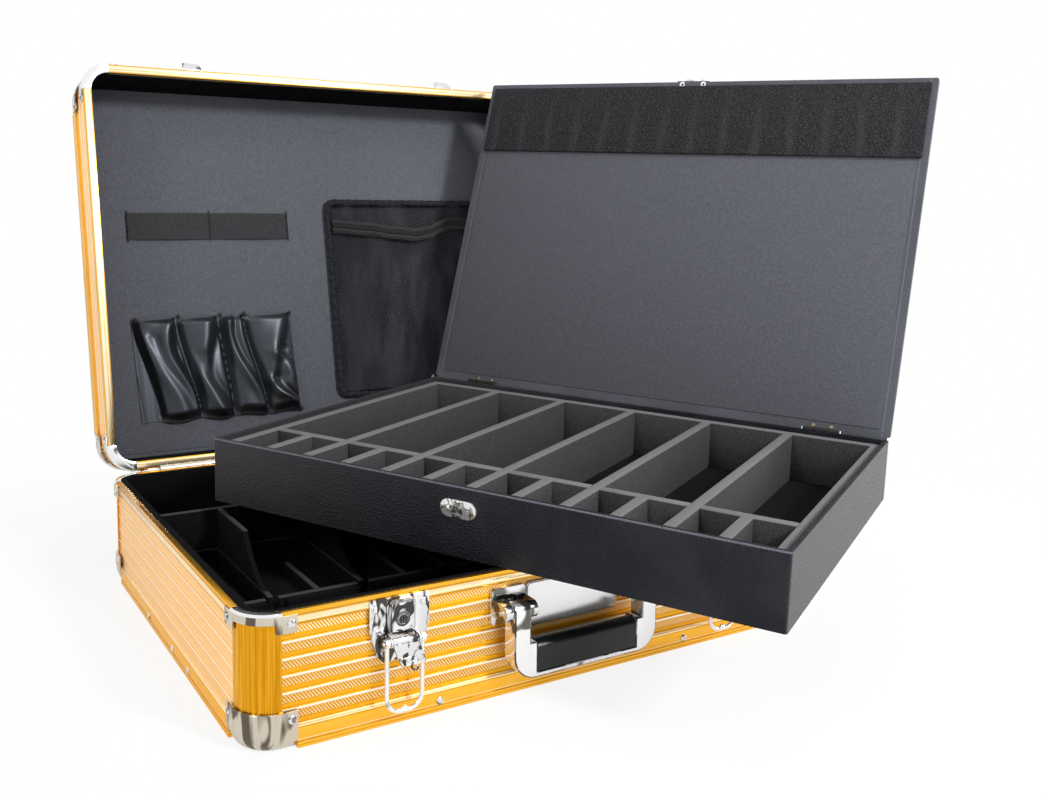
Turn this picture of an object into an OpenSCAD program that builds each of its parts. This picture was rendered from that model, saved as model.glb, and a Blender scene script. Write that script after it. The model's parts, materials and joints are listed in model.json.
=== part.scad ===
// Barber case: a hinged aluminium case with a lift-off tray that has its own lid.
// Millimetres, +Z up. The origin is the centre of the case's underside.
// The case stands open, and the tray lies turned across its rim.

/* [Case] */
// Width of the case
case_w = 450; // [440:2:560]
// Depth of the case, front to back
case_d = 350; // [344:2:400]
// Height of the base, up to the rim
base_h = 84; // [80:1:120]
// Height of the closed lid above the rim
lid_h = 56; // [54:1:90]
// How far the lid stands open
lid_open = 101.5; // [100:0.5:110]
// Radius of the upright corners
corner_r = 22; // [18:1:30]
// Thickness of the ribbed wall panels
panel_t = 4; // [3:0.5:5]
// How far a panel lies behind the corner posts
panel_set = 1.2; // [0.8:0.1:2]
// Height of a rib on the wall panels
rib_h = 0.6; // [0.3:0.1:0.9]
// Number of plain bands between the ribs of the base
rib_bands = 6; // [4:1:9]

/* [Edge trim] */
// Width of the base's rim trim, seen from above
rim_w = 3.5; // [3:0.5:5]
// Width of the lid's rim trim
lid_rim_w = 6.5; // [5.5:0.5:8]
// Height of the rim trim
rim_h = 8; // [6:0.5:12]
// Height of the trim along the bottom and top edges
edge_h = 14; // [10:1:20]
// How far the trim stands proud of the case
trim_proud = 0.6; // [0.3:0.1:1]
// Sheet thickness of the chrome corners
corner_t = 1; // [0.8:0.1:1.5]
// Length of a chrome corner along the trim
corner_tab = 9; // [7:1:14]
// Height of the chrome ball corners
ball_h = 24; // [18:1:30]
// Height of the chrome rim corners
rim_corner_h = 12; // [10:1:16]
// Radius of a rivet head
rivet_r = 2.6; // [1.5:0.1:3.5]

/* [Lining and dividers] */
// Thickness of the base's wall lining
lining_t = 3; // [2:0.5:4]
// Thickness of the floor lining
floor_t = 4; // [2:0.5:8]
// Thickness of a divider board
divider_t = 4; // [3:0.5:6]
// Height of the tall dividers
divider_top = 79; // [60:1:79]
// Height of the low dividers at the front
low_top = 47; // [44:1:60]
// Height of the raised floor blocks
pad_top = 38; // [20:1:42]
// Distance between the lengthwise dividers
divider_pitch = 68; // [60:1:70]
// Place of the cross divider behind the centre
back_y = 59; // [50:1:75]
// Place of the low strip in front of the centre
strip_y = 61; // [54:1:90]

/* [Latches] */
// Distance of a latch from the centre
latch_x = 129; // [110:1:150]
// Width of a latch plate
latch_w = 40; // [34:1:46]
// Height of a latch plate
latch_h = 40; // [34:1:44]
// How far the latch pivot lies below the rim
latch_drop = 28; // [26:1:32]
// Distance of the latch pivot from the case's front
latch_out = 9; // [8.5:0.5:12]
// Diameter of the bail wire
wire_d = 2.8; // [2:0.2:4]
// Length of the bail, from its pivot to its far bar
bail_len = 44; // [42:0.5:50]
// Inner width of the bail
bail_w = 21; // [20:0.5:26]
// Width of the lever
lever_w = 17; // [12:0.5:18]
// Length of the lever
lever_len = 16; // [12:0.5:22]
// Rest angle of the lever, up from straight down
lever_rest = 50; // [40:1:60]

/* [Handle] */
// Distance between the handle's pivots
handle_w = 102; // [96:1:110]
// How far the handle's pivot lies below the rim
handle_below = 23; // [21:1:26]
// Distance of the handle's pivot from the case's front
handle_out = 13; // [12:0.5:16]
// Length of the handle's arms
handle_drop = 44; // [40:1:48]
// Rest angle of the handle away from the case
handle_rest = 1; // [0:0.5:8]
// Height of the grip
grip_h = 20; // [14:0.5:22]
// Thickness of the grip
grip_t = 13; // [8:0.5:14]
// Width of the handle's arms
arm_w = 12; // [8:0.5:13]
// Depth of the handle's arms, from back to front
arm_t = 13; // [8:0.5:14]
// Height of the bar under the grip
bar_h = 3.5; // [3:0.5:6]
// Width of a handle bracket
bracket_w = 26; // [22:1:30]

/* [Tray] */
// Width of the tray
tray_w = 432; // [400:1:433]
// Depth of the tray
tray_d = 308; // [290:1:320]
// Height of the tray box
tray_h = 48; // [42:1:50]
// Thickness of the tray's walls
tray_wall = 4; // [3:0.5:7]
// Thickness of the tray's floor
tray_floor = 4; // [3:0.5:8]
// Thickness of the foam lining and dividers
foam_t = 8; // [6:0.5:10]
// How far the foam ends below the tray's top
foam_drop = 3.5; // [3.5:0.5:8]
// Number of long compartments
long_count = 6; // [4:1:8]
// Depth of the small front compartments
front_cell = 47; // [35:1:60]
// Turn of the tray, seen from above
tray_turn = -60.6; // [-62:0.2:-58]
// Place of the tray's front edge along the case's width
tray_x = -70; // [-75:0.1:-60]
// Place of the tray's front edge along the case's depth
tray_y = -142.4; // [-150:0.1:-139]

/* [Tray lid] */
// Thickness of the tray's lid
tray_lid_t = 5; // [4:0.5:6]
// How far the tray's lid stands open
tray_lid_open = 109; // [95:0.5:109]
// Thickness of the foam strip in the tray's lid
strip_t = 3; // [2:0.1:3.4]
// Height of the foam strip
strip_h = 67; // [40:1:80]
// Width of the tray's hasp
hasp_w = 33; // [32:1:44]
// Length of the moving hasp
hasp_len = 20; // [19:0.5:24]
// How far the moving hasp leans back at rest
hasp_rest = 60; // [0:5:75]

/* [Pockets in the lid] */
// Width of the elastic strap
strap_w = 154; // [120:1:170]
// Height of the elastic strap
strap_h = 25; // [15:1:35]
// Width of the row of vinyl pockets
pockets_w = 156; // [130:2:164]
// Height of the vinyl pockets
pockets_h = 98; // [70:1:110]
// How far the vinyl pockets stand out
pockets_out = 14; // [10:1:20]
// Number of vinyl pockets
pocket_count = 4; // [2:1:6]
// Width of the mesh pocket
mesh_w = 186; // [140:2:196]
// Height of the mesh pocket
mesh_h = 200; // [160:2:220]
// Number of mesh gaps across
mesh_cols = 16; // [8:1:20]
// Number of mesh gaps up
mesh_rows = 15; // [8:1:18]

/* [Fits] */
// Clearance between moving pieces
play = 0.3; // [0.2:0.05:0.4]
// Clearance of a hinge pin in its moving knuckles
pin_play = 0.2; // [0.15:0.05:0.3]

/* [Hidden] */
$fn = 48;
hair = 0.01;
half_w = case_w / 2;
half_d = case_d / 2;
closed_h = base_h + lid_h;
latch_pivot_z = base_h - latch_drop;
handle_z = base_h - handle_below;
wall_out = panel_set + panel_t;      // outer faces to the inner face of a wall panel
sheet_t = 4;                         // bottom and top sheets of the case
sheet_in = wall_out + hair;
wall_z = edge_h;            // where the wall panels of the base start
wall_top = base_h - rim_h;           // where they end
inner = wall_out + 0.8;              // outer face of the lining, from the case's outer face
cavity_x = half_w - inner - lining_t;
cavity_y = half_d - inner - lining_t;
lining_z = sheet_t;         // underside of the base's lining
lining_top = wall_top;
floor_z = lining_z + floor_t;
lid_lining_t = 1.5;                  // the lining of the lid's walls
board_t = 2;                         // the lid's lining board
board_z = closed_h - sheet_t - board_t;
post_wall = wall_out + 0.4;
hinge_r = 3;                         // knuckle radius of the case's hinges
hinge_pin_r = 1.5;
hinge_len = 60;
hinge_gap = 10;                      // between a hinge and the chrome corner beside it
hinge_x = half_w - corner_r - corner_tab - hinge_gap - hinge_len / 2;
hinge_leaf_t = 1.2;
hinge_leaf_h = 20;
hinge_out = trim_proud + corner_t + 2 * play;   // the hinge's axis lies outside everything at the back
knuckles = 5;
rib_out = rib_h - panel_set;         // the ribs' faces, from the case's outer face
rib_w = 1.5;
rivet_h = 1.1;
rivet_in = 125;                      // the front trim's rivets, from the case's sides
tab_lap = 4;                         // how far a chrome corner's tab reaches over the rounded corner
tab_gap = 1.5;                       // from a tab of the rim corners up to the rim
band_lap = 1;                        // how far the rim corner's band reaches down over the post
post_rise = 2.4;                     // how far a post reaches past the walls, up to the rim corner
side_rivets = [-0.326, -0.103, 0.28];    // the side trim's rivets, in parts of half the depth
tab_out = trim_proud + play / 3 + corner_t;
tab_in_x = half_w - corner_r - corner_tab * 0.6;
tab_in_y = half_d - corner_r - corner_tab * 0.6;
ball_rivet = 5;                      // a ball corner's rivets, from its upper edge
rim_rivet = (rim_corner_h + tab_gap) / 2;    // a rim corner's rivets, from the rim
lip_gap = 0.2;                       // between the base's lining and the trim
first_cell = 57;
divider_first = -half_w + first_cell;    // the first lengthwise divider
divider_last = 5;
divider_gap = 0.4;
function divider_at(k) = divider_first + k * divider_pitch;

// Places and helpers

// Moves what is drawn in the upper right corner to all four corners
module at_corners() {
  for (i = [0:3]) {
    sx = (i == 0 || i == 3) ? 1 : -1;
    sy = (i < 2) ? 1 : -1;
    translate([sx * (half_w - corner_r), sy * (half_d - corner_r), 0]) rotate([0, 0, 90 * i]) children();
  }
}

// Draws a piece at the front and turned round at the back
module front_and_back() {
  children();
  rotate([0, 0, 180]) children();
}

// Takes a piece from the closed lid to the open one
module opened() {
  translate([0, half_d + hinge_out, base_h]) rotate([-lid_open, 0, 0])
    translate([0, -half_d - hinge_out, -base_h]) children();
}

// Stands a piece drawn in the lid upside down, so that the lid's edge trim is the base's
module flipped() {
  translate([0, 0, closed_h]) rotate([180, 0, 0]) children();
}

module rounded_square(w, d, r) {
  square([w - 2 * r, d], center = true);
  square([w, d - 2 * r], center = true);
  for (sx = [-1, 1], sy = [-1, 1]) translate([sx * (w / 2 - r), sy * (d / 2 - r)]) circle(r);
}

module rounded_plate(w, d, h, r) {
  linear_extrude(h) rounded_square(w, d, r);
}

// A round rivet head that stands on the plane z = 0
module rivet(r = rivet_r, h = rivet_h) {
  rotate_extrude() polygon([[0, 0], [r, 0], [r, h * 0.3], [r * 0.75, h * 0.8], [r * 0.4, h], [0, h]]);
}

// Puts a piece drawn on z = 0 on the case's front face, x across and y up
module on_front(x, z, out = 0) {
  translate([x, -half_d - out, z]) rotate([90, 0, 0]) children();
}

// Ribbed wall panel along X with its outer face to -Y, from z = low to z = high
module ribbed_panel(len, low, high, bands) {
  pitch = (high - low) / bands;
  rotate([90, 0, 90]) translate([0, 0, -len / 2]) linear_extrude(len) {
    translate([0, low]) square([panel_t, high - low]);
    for (i = [1:bands - 1]) translate([-rib_h, low + i * pitch - rib_w / 2]) square([rib_h + hair, rib_w]);
  }
}

module long_panels(low, high, bands) {
  front_and_back() translate([0, -half_d + panel_set, 0])
    ribbed_panel(case_w - 2 * corner_r, low, high, bands);
}

module side_panels(low, high, bands) {
  front_and_back() rotate([0, 0, -90]) translate([0, -half_w + panel_set, 0])
    ribbed_panel(case_d - 2 * corner_r, low, high, bands);
}

// Fluted quarter-round post
module post(low, high, deep = post_wall) {
  flutes = 11;
  translate([0, 0, low]) linear_extrude(high - low) difference() {
    intersection() {
      circle(corner_r);
      square(corner_r);
    }
    circle(corner_r - deep);
    for (i = [1:flutes - 1]) rotate(90 * i / flutes) translate([corner_r + 0.5, 0]) circle(0.9, $fn = 16);
  }
}

// One straight trim bar along X, its outer face to -Y: a grooved extrusion
module trim_bar(len, wide, high) {
  groove = 0.8;
  rotate([90, 0, 90]) translate([0, 0, -len / 2]) linear_extrude(len) difference() {
    translate([-trim_proud, 0]) square([wide + trim_proud, high]);
    translate([-trim_proud - hair, high * 0.3]) square([0.4, groove]);
  }
}

// Four trim bars, each this much shorter at both ends than the straight walls
module trim_ring(low, wide, high, short = 0) {
  ends = 2 * (corner_r + short);
  front_and_back() {
    translate([0, -half_d, low]) trim_bar(case_w - ends, wide, high);
    rotate([0, 0, -90]) translate([0, -half_w, low]) trim_bar(case_d - ends, wide, high);
  }
}

// Two small plates that carry a chrome corner on along the trim, in the corner's own frame
module corner_tabs(low, high) {
  out = corner_r + trim_proud + play / 3;
  translate([-corner_tab, out, low]) cube([corner_tab + tab_lap, corner_t, high - low]);
  translate([out, -corner_tab, low]) cube([corner_t, corner_tab + tab_lap, high - low]);
}

// Chrome corner at the rim: replaces the trim there and laps over the post
module rim_corner(wide) {
  out = corner_r + trim_proud + play / 3 + corner_t;
  top = wall_top + post_rise;
  low = top - band_lap;
  rotate_extrude(angle = 90) polygon([
    [corner_r - wide, top], [corner_r + play / 3, top], [corner_r + play / 3, low],
    [out - 0.4, low], [out, low + 0.4], [out, base_h - 1.2], [out - 1.2, base_h], [corner_r - wide, base_h]
  ]);
  corner_tabs(base_h - rim_corner_h, base_h - tab_gap);
}

// Chrome ball corner at the foot: replaces the trim there and laps over the post
module ball_corner() {
  out = corner_r + trim_proud + play / 3 + corner_t;
  ball_w = 6.8;
  ball_up = 12;
  arc = [for (a = [0:15:90]) [out - ball_w + ball_w * sin(a), ball_up - ball_up * cos(a)]];
  inside = [[corner_r - wall_out, wall_z], [corner_r - wall_out, 0]];
  rotate_extrude(angle = 90) polygon(concat(
    arc,
    [[out, ball_h - 0.5], [out - 0.5, ball_h], [corner_r + play / 3, ball_h], [corner_r + play / 3, wall_z]],
    inside
  ));
  translate([-corner_tab, 0, 0]) rotate([90, 0, 90]) linear_extrude(corner_tab)
    polygon(concat(arc, [[out, wall_z]], inside));
  rotate([90, 0, 0]) linear_extrude(corner_tab) polygon(concat(arc, [[out, wall_z]], inside));
  corner_tabs(wall_z - 1, ball_h);
}

// Room for the case's hinges in the trims of the base and the lid
module hinge_room() {
  for (sx = [-1, 1]) translate([sx * hinge_x, half_d + hinge_out, base_h]) rotate([0, 90, 0])
    cylinder(r = hinge_r + play, h = hinge_len + 2 * play, center = true);
}

// Knuckles number first, first + 2, ... of one hinge, bored for the pin
module knuckle_row(first, bore_r) {
  step = hinge_len / knuckles;
  for (i = [first:2:knuckles - 1]) translate([-hinge_len / 2 + i * step + play / 2, 0, 0]) rotate([0, 90, 0])
    difference() {
      cylinder(r = hinge_r, h = step - play);
      translate([0, 0, -1]) cylinder(r = bore_r, h = step + 2);
    }
}

// Base

module base_long_panels() {
  color("goldenrod") long_panels(wall_z, wall_top, rib_bands);
}

module base_side_panels() {
  color("goldenrod") side_panels(wall_z, wall_top, rib_bands);
}

module base_bottom() {
  color("goldenrod")
    rounded_plate(case_w - 2 * sheet_in, case_d - 2 * sheet_in, sheet_t, corner_r - sheet_in);
}

module base_posts() {
  color("gold") at_corners() {
    post(wall_z, wall_top);
    post(wall_top, wall_top + post_rise, rim_w);
  }
}

module base_edge_trim() {
  color("gold") trim_ring(0, wall_out, edge_h, corner_tab);
}

module base_rim_trim() {
  color("gold") difference() {
    trim_ring(wall_top, rim_w, rim_h);
    hinge_room();
  }
}

module base_corners() {
  color("silver") at_corners() {
    rim_corner(rim_w);
    ball_corner();
  }
}

// Rivets on the tabs of the chrome corners, at these heights
module tab_rivets(heights) {
  for (z = heights) {
    for (sx = [-1, 1]) on_front(sx * tab_in_x, z, tab_out) rivet();
    for (sy = [-1, 1]) translate([-half_w - tab_out, sy * tab_in_y, z]) rotate([0, -90, 0]) rivet();
  }
}

// Rivets along the base's edge trim and on its chrome corners
module case_rivets() {
  rivet_z = edge_h / 2;
  front_and_back() {
    for (sx = [-1, 1]) on_front(sx * (half_w - rivet_in), rivet_z, trim_proud) rivet();
    for (part = side_rivets)
      translate([-half_w - trim_proud, part * half_d, rivet_z]) rotate([0, -90, 0]) rivet();
    tab_rivets([ball_h - ball_rivet, base_h - rim_rivet]);
  }
}

module base_rivets() {
  color("silver") case_rivets();
}

// Lining of the base, with a lip behind the rim trim
module base_lining() {
  lip = rim_w + lip_gap;
  color([0.1, 0.1, 0.1]) difference() {
    union() {
      translate([0, 0, lining_z])
        rounded_plate(case_w - 2 * inner, case_d - 2 * inner, lining_top - lining_z + 1, corner_r - inner);
      translate([0, 0, lining_top + lip_gap])
        rounded_plate(case_w - 2 * lip, case_d - 2 * lip, rim_h - 3 * lip_gap, corner_r - lip);
    }
    translate([0, 0, floor_z])
      rounded_plate(2 * cavity_x, 2 * cavity_y, base_h, corner_r - inner - lining_t);
  }
}

module cross_divider() {
  color([0.13, 0.13, 0.13]) translate([-cavity_x + divider_gap, back_y, floor_z])
    cube([2 * (cavity_x - divider_gap), divider_t, divider_top - floor_z]);
}

// Lengthwise divider: its front falls from the top in a hollow curve to the low strip
module long_divider() {
  low = low_top - floor_z;
  high = divider_top - floor_z;
  flat_end = -3;
  fall = 7;
  steps = 6;
  foot = -strip_y + divider_t + divider_gap;
  curve = [for (i = [0:steps]) let (t = i / steps)
    [foot + t * (flat_end - fall - foot), low + (high - low) * 0.7 * pow(t, 2.5)]];
  rotate([90, 0, 90]) translate([0, 0, -divider_t / 2]) linear_extrude(divider_t) polygon(concat(
    [[back_y - divider_gap, 0], [foot, 0]],
    curve,
    [[flat_end, high], [back_y - divider_gap, high]]
  ));
}

module long_dividers() {
  color([0.15, 0.15, 0.15]) for (k = [0:divider_last])
    translate([divider_at(k), 0, floor_z]) long_divider();
}

// Low strip across the front with a ledge before it, both open at the lengthwise dividers, and short boards
module low_dividers() {
  notch_w = divider_t + 5;
  notch_h = 24;
  ledge_drop = 1.5;
  ledge_in = 5;
  short_len = 62;
  short_low = pad_top + divider_gap;
  color([0.16, 0.16, 0.16]) {
    difference() {
      union() {
        translate([-cavity_x + divider_gap, -strip_y, floor_z])
          cube([2 * (cavity_x - divider_gap), divider_t, low_top - floor_z]);
        for (k = [-1:divider_last]) {
          start = k < 0 ? -cavity_x + divider_gap : divider_at(k) + notch_w / 2 + ledge_in;
          end = k < divider_last ? divider_at(k + 1) - notch_w / 2 : cavity_x - divider_gap;
          translate([start, -strip_y - divider_t, floor_z])
            cube([end - start, divider_t + hair, low_top - ledge_drop - floor_z]);
        }
      }
      for (k = [0:divider_last])
        translate([divider_at(k) - notch_w / 2, -strip_y - divider_t - 1, low_top - notch_h])
          cube([notch_w, 2 * divider_t + 2, notch_h + 1]);
    }
    for (k = [0:divider_last - 1])
      translate([divider_at(k) + (divider_pitch - divider_t) / 2, -strip_y + divider_t - hair, short_low])
        cube([divider_t, short_len, low_top - short_low]);
  }
}

// Raised floor blocks between the dividers, with a slot left beside each divider
module floor_pads() {
  slot = 8;
  front = -strip_y + divider_t + divider_gap;
  len = back_y - divider_gap - front;
  color([0.14, 0.14, 0.14]) {
    translate([-cavity_x + divider_gap, front, floor_z])
      cube([divider_first + cavity_x - divider_t / 2 - slot, len, pad_top - floor_z]);
    for (k = [0:divider_last]) {
      next = k < divider_last ? divider_at(k + 1) - divider_t / 2 : cavity_x;
      start = divider_at(k) + divider_t / 2 + divider_gap;
      translate([start, front, floor_z]) cube([next - start - slot, len, pad_top - floor_z]);
    }
  }
}

// Leaf that stands on the outside of the back, below the seam for up = -1 and above it for up = 1
module hinge_leaf(up, first) {
  step = hinge_len / knuckles;
  low = hinge_r + play;
  rise = trim_proud + play / 3;
  for (sx = [-1, 1]) translate([sx * hinge_x, half_d, base_h]) {
    translate([-hinge_len / 2, rise, up > 0 ? low : -low - hinge_leaf_h])
      cube([hinge_len, hinge_leaf_t, hinge_leaf_h]);
    for (i = [first:2:knuckles - 1])
      translate([-hinge_len / 2 + i * step + play / 2, rise, up > 0 ? hinge_pin_r + 0.6 : -low - 1])
        cube([step - play, hinge_leaf_t, low + 1 - hinge_pin_r - 0.6]);
  }
}

module base_hinges() {
  color("silver") {
    hinge_leaf(-1, 0);
    for (sx = [-1, 1]) translate([sx * hinge_x, half_d + hinge_out, base_h]) {
      knuckle_row(0, hinge_pin_r);
      rotate([0, 90, 0]) cylinder(r = hinge_pin_r, h = hinge_len, center = true);
    }
  }
}

// Latches and handle

bracket_x = handle_w / 2;
handle_plate_w = 2 * bracket_x - bracket_w - 2;
handle_plate_t = 1.6;
handle_pin_r = 1.8;

// Everything of a latch is drawn on the plane z = 0 with y up, centred on the latch, and put on the front
module at_latch(side) {
  on_front(side * latch_x, 0, 0) children();
}

latch_top = base_h - 2.5;
plate_t = 1.4;
plate_out = trim_proud + play / 3;   // the plate's back, from the case's front
plate_front = plate_out + plate_t;
housing_w = 18;
housing_lip = 2.4;
housing_out = latch_out - housing_lip;
cylinder_r = 4.2;
cylinder_z = latch_pivot_z + 12.6;
ear_r = 3;
small_rivet = 1.8;
ear_w = (bail_w - lever_w) / 2 - 2 * play;
pin_r = 1.2;
bail_bend = 9;                       // radius of the bail's lower corners
kink_r = 1.8;                        // the small arch in the middle of the bail's bar

module latch_plates() {
  taper = 5;
  cut = 4;
  rivet_side = 3.6;
  rivet_top = 6;
  low = latch_top - latch_h;
  half = [
    [-latch_w / 2, latch_top], [-latch_w / 2, low + latch_h / 2],
    [-latch_w / 2 + taper, low + cut], [-latch_w / 2 + taper + cut, low]
  ];
  other = [for (i = [3:-1:0]) [-half[i][0], half[i][1]]];
  color("silver") for (side = [-1, 1]) at_latch(side) {
    translate([0, 0, plate_out]) linear_extrude(plate_t) polygon(concat(half, other));
    for (sx = [-1, 1]) {
      translate([sx * (latch_w / 2 - rivet_side), latch_top - rivet_top, plate_front]) rivet();
      translate([sx * (latch_w / 2 - taper - cut), low + taper, plate_front]) rivet(r = small_rivet);
      latch_ear(sx);
    }
  }
}

// Ear that holds the pivot pin, between the lever and the bail
module latch_ear(sx) {
  translate([sx * (lever_w / 2 + play + ear_w / 2), latch_pivot_z, 0]) rotate([0, 90, 0]) difference() {
    linear_extrude(ear_w, center = true) {
      translate([-latch_out, 0]) circle(ear_r);
      translate([-latch_out, -ear_r]) square([latch_out - plate_front, 2 * ear_r]);
    }
    translate([-latch_out, 0, 0]) cylinder(r = pin_r, h = ear_w + 2, center = true);
  }
}

// Raised lock housing in the upper middle of the plate, bored for the key cylinder
module lock_housings() {
  low = latch_pivot_z + ear_r + 2 * play;
  high = latch_top - 1;
  round_r = 3;
  color("silver") for (side = [-1, 1]) at_latch(side) difference() {
    translate([0, (low + high) / 2, plate_front]) union() {
      rounded_plate(housing_w, high - low, housing_out - plate_front - 1, round_r);
      rounded_plate(
        housing_w - housing_lip, high - low - housing_lip, housing_out - plate_front, round_r / 2
      );
    }
    translate([0, cylinder_z, plate_front - 1]) cylinder(r = cylinder_r + pin_play, h = 2 * housing_out);
  }
}

module lock_cylinder(side) {
  start = plate_front + play;
  proud = 0.5;
  slot_w = 1.2;
  slot_h = 5.2;
  slot_deep = 2;
  color("dimgray") at_latch(side) translate([0, cylinder_z, start]) difference() {
    union() {
      cylinder(r = cylinder_r, h = housing_out - start);
      cylinder(r = cylinder_r - 1, h = housing_out - start + proud);
    }
    translate([-slot_w / 2, -slot_h / 2, housing_out - start - slot_deep])
      cube([slot_w, slot_h, 2 * slot_deep]);
  }
}

module front_pivot_pins() {
  pin_len = bail_w + 2 * wire_d + 2 * pin_r;
  color("silver") {
    for (side = [-1, 1]) translate([side * latch_x, -half_d - latch_out, latch_pivot_z]) rotate([0, 90, 0])
      cylinder(r = pin_r, h = pin_len, center = true);
    for (side = [-1, 1]) translate([side * bracket_x, -half_d - handle_out, handle_z]) rotate([0, 90, 0])
      cylinder(r = handle_pin_r, h = bracket_w, center = true);
  }
}

// Lever between the ears, at rest pointing outwards and down
module latch_lever(side) {
  thick = 1.5;
  knuckle_r = 2.6;
  tip = 4;
  lip = 2;
  ring_r = 2;
  ring_t = 0.6;
  color("silver") translate([side * latch_x, -half_d - latch_out, latch_pivot_z]) rotate([-lever_rest, 0, 0])
    difference() {
      union() {
        rotate([0, 90, 0]) cylinder(r = knuckle_r, h = lever_w, center = true);
        translate([-lever_w / 2, -thick / 2, -lever_len + tip]) cube([lever_w, thick, lever_len - tip]);
        translate([0, thick / 2, -lever_len + tip]) rotate([90, 0, 0]) linear_extrude(thick) intersection() {
          circle(lever_w / 2);
          translate([-lever_w / 2, -tip]) square([lever_w, tip + 1]);
        }
        translate([-lever_w / 2 + 1, -thick / 2 - lip + thick / 10, -lever_len + lip])
          cube([lever_w - 2, lip, lip]);
        translate([0, 0, -lever_len - ring_r + ring_t]) rotate([90, 0, 0]) rotate_extrude()
          translate([ring_r, 0]) circle(ring_t, $fn = 16);
      }
      rotate([0, 90, 0]) cylinder(r = pin_r + pin_play, h = lever_w + 2, center = true);
    }
}

// Wire bail that hangs from the pin, outside the ears
module latch_bail(side) {
  leg_x = bail_w / 2 + wire_d / 2;
  low = bail_len - bail_bend;
  eye_r = 2.8;
  color("silver") translate([side * latch_x, -half_d - latch_out, latch_pivot_z]) {
    for (sx = [-1, 1]) translate([sx * leg_x, 0, 0]) difference() {
      union() {
        translate([0, 0, -low]) cylinder(d = wire_d, h = low - 1, $fn = 24);
        rotate([0, 90, 0]) cylinder(r = eye_r, h = wire_d, center = true);
      }
      rotate([0, 90, 0]) cylinder(r = pin_r + pin_play, h = wire_d + 2, center = true);
    }
    for (sx = [-1, 1]) translate([sx * (leg_x - bail_bend), 0, -low]) rotate([90, 0, 0])
      rotate([0, 0, sx > 0 ? -90 : 180]) rotate_extrude(angle = 90)
        translate([bail_bend, 0]) circle(d = wire_d, $fn = 24);
    translate([0, 0, -bail_len]) rotate([90, 0, 0]) rotate_extrude(angle = 180)
      translate([kink_r, 0]) circle(d = 0.8 * wire_d, $fn = 24);
    translate([0, 0, -bail_len]) rotate([0, 90, 0])
      cylinder(d = wire_d, h = 2 * (leg_x - bail_bend) + 2 * hair, center = true, $fn = 24);
  }
}

module handle_plate() {
  plate_h = 30;
  plate_z = handle_z - 3;
  round_r = 3;
  border = 1.2;
  color("silver") on_front(0, plate_z, rib_out) {
    rounded_plate(handle_plate_w, plate_h, handle_plate_t, round_r);
    rounded_plate(handle_plate_w - border, plate_h - border, handle_plate_t + border / 3, round_r);
  }
}

// A bracket at each end of the handle: a back plate and two cheeks that hold the pin
module handle_brackets() {
  boss_r = 5.6;
  bracket_h = 24;
  web = 2.4;
  round_r = 3;
  color("silver") for (side = [-1, 1]) difference() {
    on_front(side * bracket_x, handle_z, rib_out) union() {
      rounded_plate(bracket_w, bracket_h, web, round_r);
      rotate([0, 90, 0]) linear_extrude(bracket_w - 2, center = true) {
        translate([rib_out - handle_out, 0]) circle(boss_r);
        translate([rib_out - handle_out, -boss_r]) square([handle_out - rib_out, 2 * boss_r]);
      }
    }
    translate([side * bracket_x, -half_d - handle_out, handle_z]) rotate([0, 90, 0])
      cylinder(r = handle_pin_r, h = bracket_w + 2, center = true);
    translate([side * bracket_x - arm_w / 2 - play, -half_d - handle_out - arm_t, handle_z - bracket_h])
      cube([arm_w + 2 * play, handle_out + arm_t - rib_out - web, 2 * bracket_h]);
  }
}

// Places a piece drawn round the handle's pivot at its rest angle
module hung_handle() {
  translate([0, -half_d - handle_out, handle_z]) rotate([-handle_rest, 0, 0]) children();
}

// The handle hangs from its pivots: two arms, rounded lower corners, a bar and an end cap beside the grip
cap_w = 5;
module handle_frame() {
  bend = 16;
  reach = handle_w / 2;
  boss_r = arm_t / 2;
  color("silver") hung_handle() difference() {
    union() {
      for (side = [-1, 1]) translate([side * reach, 0, 0]) {
        rotate([0, 90, 0]) cylinder(r = boss_r, h = arm_w, center = true);
        translate([-arm_w / 2, -arm_t / 2, -handle_drop + bend]) cube([arm_w, arm_t, handle_drop - bend]);
        translate([side > 0 ? -arm_w / 2 - cap_w : arm_w / 2, -arm_t / 2, -handle_drop + bar_h])
          cube([cap_w, arm_t, grip_h]);
      }
      for (side = [-1, 1]) translate([side * (reach + arm_w / 2 - bend), arm_t / 2, -handle_drop + bend])
        rotate([90, 0, 0]) rotate([0, 0, side > 0 ? -90 : 180]) linear_extrude(arm_t) intersection() {
          circle(bend);
          square(bend);
        }
      translate([-reach - arm_w / 2 + bend, -arm_t / 2, -handle_drop])
        cube([2 * reach + arm_w - 2 * bend, arm_t, bar_h]);
    }
    for (side = [-1, 1]) translate([side * reach, 0, 0]) rotate([0, 90, 0])
      cylinder(r = handle_pin_r + pin_play, h = arm_w + 2, center = true);
  }
}

// Soft grip between the end caps, on the handle's bar: flat below, rounded at the top
module handle_grip() {
  len = handle_w - arm_w - 2 * cap_w;
  round_r = grip_t / 2;
  color([0.1, 0.1, 0.1]) hung_handle() translate([-len / 2, 0, -handle_drop + bar_h]) rotate([90, 0, 90])
    linear_extrude(len) {
      translate([-grip_t / 2, 0]) square([grip_t, grip_h - round_r]);
      translate([0, grip_h - round_r]) circle(round_r);
    }
}

// Lid, drawn closed and turned open as a whole

module lid_top() {
  color("goldenrod") opened() translate([0, 0, closed_h - sheet_t])
    rounded_plate(case_w - 2 * sheet_in, case_d - 2 * sheet_in, sheet_t, corner_r - sheet_in);
}

lid_wall_z = base_h + rim_h;
lid_wall_top = closed_h - wall_z;
lid_bands = 3;

module lid_long_panels() {
  color("goldenrod") opened() long_panels(lid_wall_z, lid_wall_top, lid_bands);
}

module lid_side_panels() {
  color("goldenrod") opened() side_panels(lid_wall_z, lid_wall_top, lid_bands);
}

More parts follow.
